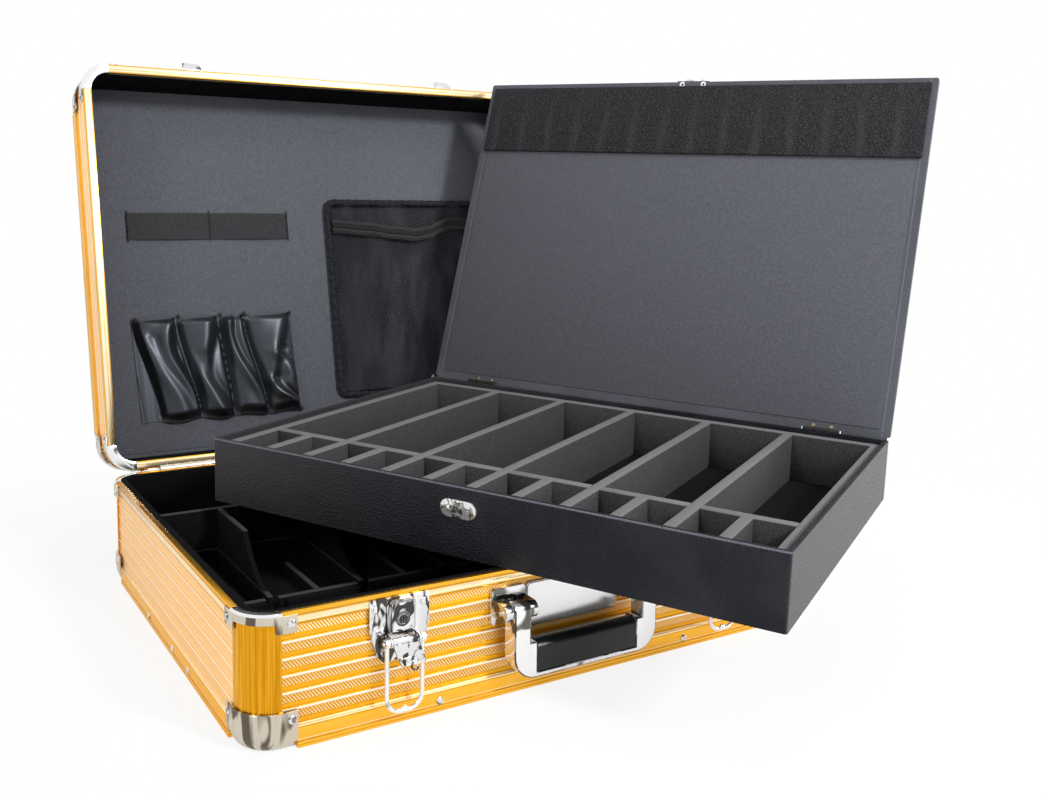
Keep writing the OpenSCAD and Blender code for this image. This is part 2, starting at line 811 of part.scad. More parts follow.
module lid_posts() {
  color("gold") opened() at_corners() {
    post(lid_wall_z, lid_wall_top);
    post(lid_wall_z - post_rise, lid_wall_z, min(lid_rim_w, post_wall));
  }
}

module lid_edge_trim() {
  color("gold") opened() flipped() trim_ring(0, wall_out, edge_h, corner_tab);
}

module lid_rim_trim() {
  color("gold") opened() difference() {
    translate([0, 0, 2 * base_h]) rotate([180, 0, 0]) trim_ring(wall_top, lid_rim_w, rim_h);
    hinge_room();
  }
}

module lid_corners() {
  color("silver") opened() {
    flipped() at_corners() ball_corner();
    translate([0, 0, 2 * base_h]) rotate([180, 0, 0]) at_corners() rim_corner(lid_rim_w);
  }
}

module lid_rivets() {
  color("silver") opened() front_and_back() {
    for (sx = [-1, 1]) on_front(sx * (half_w - rivet_in), closed_h - edge_h / 2, trim_proud) rivet();
    tab_rivets([closed_h - ball_h + ball_rivet, base_h + rim_rivet]);
  }
}

// Black lining of the lid's side walls
module lid_lining() {
  inside = inner + lid_lining_t;
  color([0.1, 0.1, 0.1]) opened() difference() {
    translate([0, 0, lid_wall_z])
      rounded_plate(case_w - 2 * inner, case_d - 2 * inner, board_z - lid_wall_z, corner_r - inner);
    translate([0, 0, lid_wall_z - 1])
      rounded_plate(case_w - 2 * inside, case_d - 2 * inside, lid_h, corner_r - inside);
  }
}

// Board that lines the lid's top and carries the pockets
module lid_board() {
  color([0.35, 0.36, 0.4]) opened() translate([0, 0, board_z])
    rounded_plate(case_w - 2 * inner, case_d - 2 * inner, board_t, corner_r - inner);
}

keeper_out = latch_out;
keeper_top = latch_pivot_z + bail_len - wire_d / 2 - play;

// Plate on the lid's front with a nose that the raised bail lies on
module lid_keepers() {
  nose_w = 15;
  nose_round = 6;
  notch_w = 2 * kink_r + wire_d + 2 * play;
  notch_h = kink_r + wire_d;
  nose_low = base_h + 2;
  nose_h = 20;
  tip_h = 5;
  plate_h = 20;
  plate_low = base_h + 1;
  profile = [
    [0, nose_low], [0, keeper_top - 2 * play], [-keeper_out + 1, keeper_top],
    [-keeper_out, keeper_top - 1], [-keeper_out, keeper_top - tip_h], [-keeper_out / 3, nose_low]
  ];
  color("silver") opened() for (side = [-1, 1]) at_latch(side) {
    translate([0, plate_low + plate_h / 2, plate_out])
      rounded_plate(bail_w, plate_h, plate_t, nose_round / 2);
    difference() {
      intersection() {
        translate([0, 0, plate_out]) rotate([0, 90, 0])
          linear_extrude(nose_w, center = true) polygon(profile);
        translate([0, keeper_top - nose_h, 0]) linear_extrude(3 * keeper_out)
          rounded_square(nose_w, 2 * nose_h, nose_round);
      }
      translate([-notch_w / 2, keeper_top - notch_h, plate_t]) cube([notch_w, notch_h + 1, 3 * keeper_out]);
    }
  }
}

module lid_hinge_leaves() {
  color("silver") opened() {
    hinge_leaf(1, 1);
    for (sx = [-1, 1]) translate([sx * hinge_x, half_d + hinge_out, base_h])
      knuckle_row(1, hinge_pin_r + pin_play);
  }
}

// Pockets lie on the board: x across, y = distance from the hinge side, z = out of the board
module on_board(x, y) {
  opened() translate([x, half_d - y, board_z]) rotate([180, 0, 0]) children();
}

strap_x = -110;
strap_y = 217;
module elastic_strap() {
  loop_out = 2;
  web_t = 1.4;
  sewn = 6;
  half = [
    [sewn, web_t], [strap_w / 4, web_t + loop_out], [strap_w / 2 - sewn, web_t],
    [strap_w / 2, web_t], [strap_w / 2, 0]
  ];
  other = [for (i = [4:-1:0]) [-half[i][0], half[i][1]]];
  color([0.05, 0.05, 0.05]) on_board(strap_x, strap_y) rotate([90, 0, 0])
    linear_extrude(strap_h, center = true) polygon(concat(half, other));
}

pockets_x = -115;
pockets_y = 37;
pocket_wall = 1.5;
function scallop(u) = pow(abs(sin(180 * pocket_count * u)), 0.7);
module vinyl_pockets() {
  steps = 8 * pocket_count;
  narrow = 2;
  bulge = pockets_out - narrow;
  outer = [for (i = [0:steps]) let (u = i / steps) [(u - 0.5) * pockets_w, narrow + bulge * scallop(u)]];
  cell = pockets_w / pocket_count;
  room = cell - 2 * pocket_wall;
  inside = [for (i = [0:8]) let (u = i / 8)
    [(u - 0.5) * room, max(narrow, narrow - pocket_wall + bulge * pow(sin(180 * u), 0.7))]];
  color([0.07, 0.07, 0.07]) on_board(pockets_x, pockets_y) rotate([90, 0, 0]) difference() {
    translate([0, 0, -pockets_h]) linear_extrude(pockets_h)
      polygon(concat([[-pockets_w / 2, 0]], outer, [[pockets_w / 2, 0]]));
    for (i = [0:pocket_count - 1]) translate([(i + 0.5) * cell - pockets_w / 2, 0, -pockets_h - 4])
      linear_extrude(pockets_h) polygon(concat([[-cell / 2 + pocket_wall, pocket_wall]], inside,
        [[cell / 2 - pocket_wall, pocket_wall]]));
  }
}

mesh_x = 98;
mesh_y = 44;
zip_y = mesh_y + mesh_h * 0.8;
zip_h = 14;
bind_w = 7;
net_z = 3;
net_t = 0.8;
teeth_w = 3;
teeth_h = 1.2;

// Flat net of diamond gaps, stretched a little off the board over its binding
module mesh_net() {
  low = mesh_y + bind_w;
  high = mesh_y + mesh_h - bind_w;
  wide = mesh_w - 2 * bind_w;
  cell_w = wide / mesh_cols;
  cell_h = (high - low) / mesh_rows;
  strand = 1.6;
  color([0.08, 0.08, 0.08]) on_board(mesh_x, 0) translate([0, 0, net_z])
    linear_extrude(net_t) difference() {
      translate([-wide / 2, low]) square([wide, high - low]);
      for (i = [0:mesh_cols - 1], j = [0:mesh_rows - 1])
        translate([-wide / 2 + (i + 0.5) * cell_w, low + (j + 0.5) * cell_h]) polygon([
          [-cell_w / 2 + strand / 2, 0], [0, -cell_h / 2 + strand / 2],
          [cell_w / 2 - strand / 2, 0], [0, cell_h / 2 - strand / 2]
        ]);
    }
}

// Tape that binds the mesh pocket to the board on its four sides
module mesh_binding() {
  color([0.05, 0.05, 0.05]) on_board(mesh_x, 0) linear_extrude(net_z + net_t + 0.6) difference() {
    translate([-mesh_w / 2, mesh_y]) square([mesh_w, mesh_h]);
    translate([-mesh_w / 2 + bind_w, mesh_y + bind_w]) square([mesh_w - 2 * bind_w, mesh_h - 2 * bind_w]);
  }
}

// Zip across the mesh pocket, on top of the net
module mesh_zip() {
  len = mesh_w - 2 * bind_w - 2 * play;
  color([0.06, 0.06, 0.06]) on_board(mesh_x, 0)
    translate([-len / 2, zip_y, net_z + net_t]) {
      cube([len, zip_h, net_t]);
      translate([0, (zip_h - teeth_w) / 2, net_t]) cube([len, teeth_w, teeth_h]);
    }
}

// Slider that runs along the zip's teeth
module zip_slider() {
  top = net_z + 2 * net_t;
  from_end = 16;
  slider_w = 10;
  slider_h = 7.2;
  slider_t = 3;
  slot_h = teeth_w + 2 * play;
  color("silver") on_board(mesh_x, 0)
    translate([mesh_w / 2 - bind_w - from_end, zip_y + zip_h / 2, top]) difference() {
      translate([-slider_w / 2, -slider_h / 2, play]) cube([slider_w, slider_h, slider_t]);
      translate([-slider_w / 2 - 1, -slot_h / 2, -1]) cube([slider_w + 2, slot_h, 1 + teeth_h + play]);
    }
}

// Tray, drawn flat with its front edge on y = 0 and laid across the rim as a whole

seam = 0.15;                         // half of the gap between the tray and its closed lid
rim_in = lid_rim_w + hinge_out;          // the lid's inner rim edge, from the hinge's axis
tray_tilt = atan((rim_in * sin(lid_open) + play) / (case_d + hinge_out - rim_in * cos(lid_open)));
tray_rise = base_h + play + (tray_y + half_d) * tan(tray_tilt);
tray_hinge_v = tray_d + 2;
tray_hinge_w = tray_h + seam;
tray_knuckle_r = 1.8;
tray_pin_r = 0.9;
tray_hinge_u = 162;
tray_hinge_len = 30;
cell_u = (tray_w - 2 * tray_wall - 2 * foam_t + foam_t) / long_count;
first_u = -tray_w / 2 + tray_wall + foam_t;
foam_top = tray_h - foam_drop;
mat_t = 1.5;
foam_low = tray_floor + mat_t;
cross_v = tray_wall + foam_t + front_cell;
inner_back = tray_d - tray_wall - foam_t;

module on_rim() {
  translate([tray_x, tray_y, tray_rise]) rotate([tray_tilt, 0, 0]) rotate([0, 0, tray_turn]) children();
}

// Takes a piece from the tray's closed lid to the open one
module lid_up() {
  on_rim() translate([0, tray_hinge_v, tray_hinge_w]) rotate([-tray_lid_open, 0, 0])
    translate([0, -tray_hinge_v, -tray_hinge_w]) children();
}

module tray_box() {
  edge_r = 2;
  color([0.2, 0.2, 0.22]) on_rim() difference() {
    translate([0, tray_d / 2, 0]) rounded_plate(tray_w, tray_d, tray_h, edge_r);
    translate([-tray_w / 2 + tray_wall, tray_wall, tray_floor])
      cube([tray_w - 2 * tray_wall, tray_d - 2 * tray_wall, tray_h]);
  }
}

module tray_floor_mat() {
  color([0.08, 0.08, 0.08]) on_rim() translate([-tray_w / 2 + tray_wall, tray_wall, tray_floor])
    cube([tray_w - 2 * tray_wall, tray_d - 2 * tray_wall, mat_t]);
}

module tray_lining() {
  in_w = tray_w - 2 * tray_wall;
  in_d = tray_d - 2 * tray_wall;
  color([0.45, 0.45, 0.47]) on_rim() difference() {
    translate([-in_w / 2, tray_wall, foam_low]) cube([in_w, in_d, foam_top - foam_low]);
    translate([-in_w / 2 + foam_t, tray_wall + foam_t, 0])
      cube([in_w - 2 * foam_t, in_d - 2 * foam_t, tray_h]);
  }
}

// Dividers from the front lining to the back lining
module tray_long_dividers() {
  color([0.45, 0.45, 0.47]) on_rim() for (i = [1:long_count - 1])
    translate([first_u + i * cell_u - foam_t, tray_wall + foam_t, foam_low])
      cube([foam_t, inner_back - tray_wall - foam_t, foam_top - foam_low]);
}

// Cross pieces behind the front cells and a short divider in the middle of each
module tray_front_dividers() {
  high = foam_top - foam_low;
  color([0.45, 0.45, 0.47]) on_rim() for (i = [0:long_count - 1])
    translate([first_u + i * cell_u, 0, foam_low]) {
      translate([0, cross_v, 0]) cube([cell_u - foam_t, foam_t, high]);
      translate([cell_u / 2 - foam_t, tray_wall + foam_t, 0]) cube([foam_t, front_cell, high]);
    }
}

catch_w = 27;
catch_h = 12;
catch_z = 33;
eye_z = catch_z + 3;
catch_t = 1.2;
tray_rivet = 2.2;
catch_screw = 8.6;                   // the catch's screws, from its middle
leaf_t = 0.8;                        // sheet of the small fittings
hinge_leaf = 10;                     // height of a small hinge's leaf
eye_w = 5;
eye_h = 4;
eye_out = 3.4;

// Oval catch plate with a raised eye and two screws on the tray's front
module tray_catch() {
  color("silver") on_rim() translate([0, 0, catch_z]) rotate([90, 0, 0]) {
    rounded_plate(catch_w, catch_h, catch_t, catch_h / 2 - hair);
    translate([0, eye_z - catch_z, catch_t]) difference() {
      rounded_plate(eye_w, eye_h, eye_out, 1.5);
      translate([-eye_w, -leaf_t, leaf_t]) cube([2 * eye_w, 2 * leaf_t, 2 * leaf_t]);
    }
    for (sx = [-1, 1]) translate([sx * catch_screw, 0, catch_t]) rivet(r = tray_rivet, h = leaf_t);
  }
}

// Knuckles of the tray's hinges, leaves on the top edge of the back wall, pins and screws
module tray_hinges() {
  step = tray_hinge_len / 3;
  wide = step - play;
  screw_r = 1.9;
  lap = 2;
  color("gray") on_rim() for (sx = [-1, 1]) translate([sx * tray_hinge_u, 0, 0]) {
    for (i = [-1, 1]) translate([i * step, tray_hinge_v, tray_hinge_w]) rotate([0, 90, 0])
      difference() {
        cylinder(r = tray_knuckle_r, h = wide, center = true, $fn = 32);
        cylinder(r = tray_pin_r, h = step + 2, center = true, $fn = 32);
      }
    translate([0, tray_hinge_v, tray_hinge_w]) rotate([0, 90, 0])
      cylinder(r = tray_pin_r, h = tray_hinge_len - play, center = true, $fn = 32);
    for (i = [-1, 1]) {
      translate([i * step - wide / 2, tray_d, tray_h - hinge_leaf]) cube([wide, leaf_t, hinge_leaf - seam]);
      translate([i * step, tray_d + leaf_t, tray_h - hinge_leaf + lap]) rotate([-90, 0, 0])
        rivet(r = screw_r, h = leaf_t);
    }
    translate([-tray_hinge_len / 2, tray_d, tray_h - hinge_leaf - lap])
      cube([tray_hinge_len, leaf_t, hinge_leaf]);
  }
}

// Short sprung stop at the tray's back corner
module tray_stop() {
  stop_len = 15;
  lean = 55;
  from_back = 10;
  from_top = 8;
  base_r = 3.2;
  base_t = 1.4;
  arm = 3;
  color("silver") on_rim() translate([-tray_w / 2, tray_d - from_back, tray_h - from_top])
    rotate([0, -90, 0]) {
      cylinder(r = base_r, h = base_t);
      rotate([0, 0, lean]) translate([0, -arm / 2, base_t]) cube([stop_len, arm, 1]);
      cylinder(r = 2, h = arm);
    }
}

// Lid panel with a flap of its covering along the back, left out at the hinges
module tray_lid_panel() {
  edge_r = 2;
  flap_t = 0.8;
  flap_out = 2.6;
  room = tray_hinge_len / 2 + 1;
  mid = tray_hinge_u - room;
  ends = tray_w / 2 - edge_r - tray_hinge_u - room;
  color([0.25, 0.26, 0.29]) lid_up() {
    translate([0, tray_d / 2, tray_h + 2 * seam]) rounded_plate(tray_w, tray_d, tray_lid_t, edge_r);
    translate([-mid, tray_d - hair, tray_h + 2 * seam]) cube([2 * mid, flap_out, flap_t]);
    for (sx = [-1, 1]) translate([sx * (tray_hinge_u + room + ends / 2), tray_d + flap_out / 2 - hair, 0])
      translate([0, 0, tray_h + 2 * seam + flap_t / 2]) cube([ends, flap_out, flap_t], center = true);
  }
}

// Foam strip along the lid's front, as wide as the space inside the tray allows
module tray_lid_foam() {
  wide = tray_w - 2 * tray_wall - 2;
  color([0.12, 0.12, 0.12]) lid_up() translate([-wide / 2, tray_wall + 1, tray_h + 2 * seam - strip_t])
    cube([wide, strip_h, strip_t]);
}

module tray_lid_leaves() {
  step = tray_hinge_len / 3;
  wide = step - play;
  strap_t = 0.6;
  strap_z = tray_hinge_w + tray_pin_r + pin_play;
  color("gray") lid_up() for (sx = [-1, 1]) translate([sx * tray_hinge_u, 0, 0]) {
    translate([0, tray_hinge_v, tray_hinge_w]) rotate([0, 90, 0]) difference() {
      cylinder(r = tray_knuckle_r, h = wide, center = true, $fn = 32);
      cylinder(r = tray_pin_r + pin_play, h = step + 2, center = true, $fn = 32);
    }
    translate([-wide / 2, tray_d, tray_h + 2 * seam]) cube([wide, leaf_t, tray_lid_t - leaf_t]);
    translate([-wide / 2, tray_d, strap_z]) cube([wide, tray_hinge_v - tray_d, strap_t]);
  }
}

hasp_pivot_v = -2.4;
hasp_pivot_w = tray_h + 2 * seam + tray_lid_t - 2;
hasp_tongue = 15;                    // width of the moving hasp
hasp_r = 1.7;
hasp_pin_r = 0.8;

// Plate on the front edge of the tray's lid with two knuckles for the hasp
module tray_hasp_base() {
  top = tray_h + 2 * seam + tray_lid_t;
  plate_d = 8;
  screw_x = 8.5;
  knuckle_w = 8;
  knuckle_x = hasp_tongue / 2 + knuckle_w / 2 + 0.5;
  lap = hasp_r - 1;
  color("silver") lid_up() {
    translate([0, plate_d / 2, top]) rounded_plate(hasp_w, plate_d, 1, 3);
    for (sx = [-1, 1]) {
      translate([sx * screw_x, plate_d / 2, top + 1]) rivet(r = tray_rivet, h = leaf_t);
      translate([sx * knuckle_x, hasp_pivot_v, hasp_pivot_w]) rotate([0, 90, 0])
        cylinder(r = hasp_r, h = knuckle_w, center = true, $fn = 32);
      translate([sx * knuckle_x - knuckle_w / 2, hasp_pivot_v, hasp_pivot_w + lap])
        cube([knuckle_w, -hasp_pivot_v, 1]);
      translate([sx * knuckle_x - knuckle_w / 2, -1, hasp_pivot_w + lap])
        cube([knuckle_w, 1, top + 1 - hasp_pivot_w - lap]);
    }
    translate([0, hasp_pivot_v, hasp_pivot_w]) rotate([0, 90, 0])
      cylinder(r = hasp_pin_r, h = 2 * knuckle_x, center = true, $fn = 24);
  }
}

// The hasp leans back from the lid's edge at rest and folds down over the catch
module tray_hasp() {
  hole_gap = 0.8;
  color("silver") lid_up() translate([0, hasp_pivot_v, hasp_pivot_w]) rotate([-hasp_rest, 0, 0])
    difference() {
      union() {
        rotate([0, 90, 0]) cylinder(r = hasp_r, h = hasp_tongue + play, center = true, $fn = 32);
        translate([0, -hasp_len / 2 - 0.5, play])
          rounded_plate(hasp_tongue, hasp_len - 1, hasp_r - 0.4, 4);
      }
      rotate([0, 90, 0]) cylinder(r = hasp_pin_r + pin_play, h = 2 * hasp_tongue, center = true, $fn = 24);
      translate([0, eye_z - hasp_pivot_w, -1])
        rounded_plate(eye_w + 2 * hole_gap, eye_h + 2 * hole_gap, 5, 2);
    }
}

base_long_panels();
base_side_panels();
base_bottom();
base_posts();
base_edge_trim();
base_rim_trim();
base_corners();
base_rivets();
base_lining();
cross_divider();
long_dividers();
low_dividers();
floor_pads();
base_hinges();
latch_plates();
lock_housings();
front_pivot_pins();
handle_plate();
handle_brackets();
lock_cylinder(-1);  // lock_cylinder_left
lock_cylinder(1);  // lock_cylinder_right
latch_lever(-1);  // latch_lever_left
latch_lever(1);  // latch_lever_right
latch_bail(-1);  // latch_bail_left
latch_bail(1);  // latch_bail_right
handle_frame();
handle_grip();
lid_top();
lid_long_panels();
lid_side_panels();
lid_posts();
lid_edge_trim();
lid_rim_trim();
lid_corners();
lid_rivets();
lid_lining();
lid_board();
lid_keepers();
lid_hinge_leaves();
elastic_strap();
vinyl_pockets();
mesh_net();
mesh_binding();
mesh_zip();
zip_slider();
tray_box();
tray_lining();
tray_floor_mat();
tray_long_dividers();
tray_front_dividers();
tray_catch();
tray_hinges();
tray_stop();
tray_lid_panel();
tray_lid_foam();
tray_lid_leaves();
tray_hasp_base();
tray_hasp();
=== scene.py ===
# %% [markdown]
# # A barber's tool case, open, with its tray lifted out
# The case is anodised aluminium with chrome corners. Its exact solids come from the imported model, which
# loads as a fixed frame. This lesson gives each solid its finish, and models what cloth, foam and
# vinyl really do.

# %% Load the imported model
import math
from functools import partial
import bpy
from mathutils import Matrix, Vector
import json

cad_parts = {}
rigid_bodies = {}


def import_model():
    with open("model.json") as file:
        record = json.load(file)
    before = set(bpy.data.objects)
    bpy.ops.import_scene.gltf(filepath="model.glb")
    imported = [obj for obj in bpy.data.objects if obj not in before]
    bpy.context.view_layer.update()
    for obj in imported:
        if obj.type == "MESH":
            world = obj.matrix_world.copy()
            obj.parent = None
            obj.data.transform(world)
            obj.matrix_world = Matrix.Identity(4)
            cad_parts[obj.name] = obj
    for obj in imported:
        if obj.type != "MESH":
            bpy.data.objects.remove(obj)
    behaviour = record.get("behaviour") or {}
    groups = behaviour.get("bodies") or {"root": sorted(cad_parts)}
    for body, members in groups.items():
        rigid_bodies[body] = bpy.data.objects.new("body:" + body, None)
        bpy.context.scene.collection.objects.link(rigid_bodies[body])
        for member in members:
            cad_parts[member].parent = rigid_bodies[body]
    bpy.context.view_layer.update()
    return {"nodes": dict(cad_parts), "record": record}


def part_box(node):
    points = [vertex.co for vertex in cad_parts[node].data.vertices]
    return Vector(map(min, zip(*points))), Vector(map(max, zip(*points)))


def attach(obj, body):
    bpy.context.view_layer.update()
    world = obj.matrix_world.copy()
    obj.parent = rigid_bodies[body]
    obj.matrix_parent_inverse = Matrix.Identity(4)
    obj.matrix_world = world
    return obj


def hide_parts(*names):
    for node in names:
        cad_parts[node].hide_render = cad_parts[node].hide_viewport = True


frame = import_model()
carried_by = {node: body for body, nodes in frame["record"]["behaviour"]["bodies"].items() for node in nodes}

# %% [markdown]
# Sizes are written in millimetres, as on the maker's drawing, and turned into metres by `mm`. The case and
# the tray were drawn closed and level, where they are easy to measure. The lid, the tray and the tray's lid
# each have a matrix that takes a piece from there to where it stands. The tray leans a little, because one
# side of it lies on the base's rim and the other on the opened lid's, which is higher.

# %% Places of the case and its lid
mm = 0.001
half_w, half_d, rim_z, closed_z = 225, 175, 84, 140
hinge_out = 2.2
hinge_y = half_d + hinge_out
top_sheet, board = 4, 2
opening = 101.5


def turned(axis, degrees, y, z):
    """A turn about a line that lies along this axis and goes through (0, y, z)."""
    there = Matrix.Translation((0, y * mm, z * mm))
    return there @ Matrix.Rotation(math.radians(degrees), 4, axis) @ there.inverted()


lid_open = turned("X", -opening, hinge_y, rim_z)
board_z = closed_z - top_sheet - board
on_board = lid_open @ Matrix.Translation((0, half_d * mm, board_z * mm)) @ Matrix.Rotation(math.pi, 4, "X")

# %% Places of the tray and its lid
lid_rim, play = 6.5, 0.3
tray_x, tray_y, tray_turn = -70, -142.4, -60.6
tray_w, tray_d, tray_h = 432, 308, 48
tray_hinge_out, tray_hinge_z, tray_opening = 2, 48.15, 109
rim_in = lid_rim + hinge_out
leaning = math.radians(opening)
tilt = math.atan((rim_in * math.sin(leaning) + play) / (2 * half_d + hinge_out - rim_in * math.cos(leaning)))
tray_z = rim_z + play + (tray_y + half_d) * math.tan(tilt)
in_tray = (Matrix.Translation(Vector((tray_x, tray_y, tray_z)) * mm) @ Matrix.Rotation(tilt, 4, "X")
           @ Matrix.Rotation(math.radians(tray_turn), 4, "Z"))
in_tray_lid = in_tray @ turned("X", -tray_opening, tray_d + tray_hinge_out, tray_hinge_z)
print("tray leans by", round(math.degrees(tilt), 2), "degrees")

# %% [markdown]
# Every operator acts on whatever is selected, and the loaded nodes come in selected, so each step starts by
# deselecting everything. A new piece gets its place baked into its mesh, so that its object stays at the
# origin. What several pieces need is a helper here: a block, a grid to shape, a row of copies, a wall.

# %% Helpers for modelling
def deselect_all():
    """Deselects everything."""
    bpy.ops.object.select_all(action="DESELECT")


def only(piece):
    """Selects this object alone and makes it active."""
    deselect_all()
    piece.select_set(True)
    bpy.context.view_layer.objects.active = piece


def named(name):
    """Names the active object and its mesh."""
    piece = bpy.context.object
    piece.name = name
    piece.data.name = name
    return piece


def settle(piece, place=None):
    """Puts a piece drawn round the origin into place, and bakes that into its mesh."""
    only(piece)
    if place is not None:
        piece.matrix_world = place @ piece.matrix_world
    bpy.ops.object.transform_apply(location=True, rotation=True, scale=True)
    return piece


def with_modifier(piece, kind, **settings):
    """Adds a modifier with these settings and applies it."""
    only(piece)
    modifier = piece.modifiers.new(kind, kind)
    for key, value in settings.items():
        setattr(modifier, key, value)
    bpy.ops.object.modifier_apply(modifier=modifier.name)
    return piece


def thickened(piece, thickness):
    """Gives a sheet a wall, inwards from the faces it has."""
    return with_modifier(piece, "SOLIDIFY", thickness=thickness * mm, offset=-1)


def repeated(piece, count, step):
    """Makes a row of copies along X, this many millimetres apart."""
    return with_modifier(piece, "ARRAY", count=count, use_relative_offset=False, use_constant_offset=True,
                         constant_offset_displace=(step * mm, 0, 0))


def smooth(piece, degrees=35):
    """Shades smoothly, apart from edges that are sharper than this."""
    only(piece)
    bpy.ops.object.shade_smooth_by_angle(angle=math.radians(degrees))
    return piece


def painted(piece, material):
    """Gives the whole piece one material."""
    piece.data.materials.clear()
    piece.data.materials.append(material)
    return piece


def fitted(piece, node, material):
    """The piece takes a node's body."""
    painted(piece, material)
    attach(piece, carried_by[node])
    return piece


def joined(pieces, name):
    """Makes one object of several."""
    deselect_all()
    for piece in pieces:
        piece.select_set(True)
    bpy.context.view_layer.objects.active = pieces[0]
    bpy.ops.object.join()
    return named(name)


def box(name, low, high, edge=0.0, segments=2):
    """A block from its lowest to its highest corner in millimetres, with eased edges."""
    deselect_all()
    middle = [(a + b) / 2 * mm for a, b in zip(low, high)]
    bpy.ops.mesh.primitive_cube_add(size=1, location=middle)
    piece = named(name)
    piece.scale = [(b - a) * mm for a, b in zip(low, high)]
    settle(piece)
    if edge:
        with_modifier(piece, "BEVEL", width=edge * mm, segments=segments, limit_method="ANGLE")
    return piece


def grid(name, columns, rows):
    """A flat square of 1 m round the origin, cut into small faces, to be shaped in code."""
    deselect_all()
    bpy.ops.mesh.primitive_grid_add(x_subdivisions=columns, y_subdivisions=rows, size=1)
    return named(name)


def scattered(name, add, spots, squash, place):
    """The same small form at each spot, joined into one piece and put in place. The operator in add makes the
    form, and squash scales it."""
    forms = []
    for spot in spots:
        deselect_all()
        add(location=[v * mm for v in spot])
        form = named(name)
        form.scale = squash
        forms.append(settle(form))
    return smooth(settle(joined(forms, name), place), 60)


def copy_of(node, name, whole=True):
    """A clean copy of a node's mesh. Doubles are merged, and unless whole is off, flat areas lose their
    triangles."""
    source = frame["nodes"][node]
    piece = bpy.data.objects.new(name, source.data.copy())
    bpy.context.collection.objects.link(piece)
    only(piece)
    bpy.ops.object.mode_set(mode="EDIT")
    bpy.ops.mesh.select_all(action="SELECT")
    bpy.ops.mesh.remove_doubles(threshold=1e-6)
    if whole:
        bpy.ops.mesh.dissolve_limited(angle_limit=math.radians(0.5))
    bpy.ops.object.mode_set(mode="OBJECT")
    if piece.data.has_custom_normals:
        bpy.ops.mesh.customdata_custom_splitnormals_clear()
    return piece


def eased(node, width, material, segments=2, degrees=30, whole=True, edge=None):
    """A copy of a node with its sharp edges rounded, which stands for that node. The edges can have a finish
    of their own, as plated edges mirror another part of the room than the faces beside them."""
    piece = copy_of(node, node + "_eased", whole)
    fitted(piece, node, material)
    if edge:
        piece.data.materials.append(edge)
    with_modifier(piece, "BEVEL", width=width * mm, segments=segments, limit_method="ANGLE",
                  angle_limit=math.radians(degrees), use_clamp_overlap=True, material=1 if edge else -1)
    smooth(piece)
    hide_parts(node)
    return piece


# %% [markdown]
# ## Finishes
# Effects that several finishes share are node groups: pores, cloth weave, leather grain, smears on metal, and
# the rolled pattern of the panels. Each reads Object coordinates in metres, so a pattern has a real size.
# The helpers below make a group, feed a node, and give a sum, noise, or a soft step or stripe along a value.

# %% Helpers for materials
def new_group(name, inputs, outputs):
    """A shader node group, with the sockets that bring its inputs in and that take its outputs. An input
    called Vector is one, and the others are numbers."""
    group = bpy.data.node_groups.new(name, "ShaderNodeTree")
    for label, value in inputs.items():
        kind = "NodeSocketVector" if label == "Vector" else "NodeSocketFloat"
        socket = group.interface.new_socket(name=label, in_out="INPUT", socket_type=kind)
        if kind == "NodeSocketFloat":
            socket.default_value = value
    for label in outputs:
        group.interface.new_socket(name=label, in_out="OUTPUT", socket_type="NodeSocketFloat")
    return group, group.nodes.new("NodeGroupInput").outputs, group.nodes.new("NodeGroupOutput").inputs


def feed(tree, socket, value):
    """Links a socket to another one, or sets it to a plain value."""
    if isinstance(value, bpy.types.NodeSocket):
        tree.links.new(value, socket)
    else:
        socket.default_value = value


def fill(tree, node, **values):
    """Feeds these inputs of a node. An underscore in a key stands for a space."""
    for key, value in values.items():
        feed(tree, node.inputs[key.replace("_", " ")], value)
    return node


def put(tree, kind, **values):
    """A new node with some of its inputs fed."""
    return fill(tree, tree.nodes.new(kind), **values)


def maths(tree, operation, *values):
    """The output of a Math node that is fed with these values."""
    node = tree.nodes.new("ShaderNodeMath")
    node.operation = operation
    for place, value in enumerate(values):
        feed(tree, node.inputs[place], value)
    return node.outputs[0]


def split(tree, where):
    """The X, Y and Z of these coordinates."""
    return put(tree, "ShaderNodeSeparateXYZ", Vector=where).outputs


def noise(tree, where, scale, detail, bend=0.0):
    """Cloudy noise, about 0.5 on average."""
    node = put(tree, "ShaderNodeTexNoise", Vector=where, Scale=scale, Detail=detail, Distortion=bend)
    return node.outputs[0]


def ramp(tree, value, low, high, foot=0.0, top=1.0, kind="SMOOTHSTEP"):
    """From foot at low to top at high, smoothly or, with kind LINEAR, in a straight line."""
    node = put(tree, "ShaderNodeMapRange", Value=value, From_Min=low, From_Max=high, To_Min=foot, To_Max=top)
    node.interpolation_type = kind
    return node.outputs["Result"]


def stripe(tree, value, low, high, soft=0.015):
    """1 between low and high, 0 outside."""
    return maths(tree, "MULTIPLY", ramp(tree, value, low - soft, low + soft),
                 maths(tree, "SUBTRACT", 1.0, ramp(tree, value, high - soft, high + soft)))


# %% [markdown]
# ### Soft stuffs
# Foam and lining are full of small pores, with broad clouds where they are rubbed. Cloth is two sets of
# threads that cross, with thicker places in the yarn. Leatherette has rounded cells, pressed by a roller.

# %% Node group: pores
pores, given, made = new_group("Pores", {"Vector": None, "Scale": 900.0, "Low": 0.45, "High": 0.7},
                               ["Pores", "Clouds"])
fine = noise(pores, given["Vector"], given["Scale"], 3.0)
feed(pores, made["Pores"], ramp(pores, fine, given["Low"], given["High"], kind="LINEAR"))
feed(pores, made["Clouds"], noise(pores, given["Vector"], 14.0, 2.0))

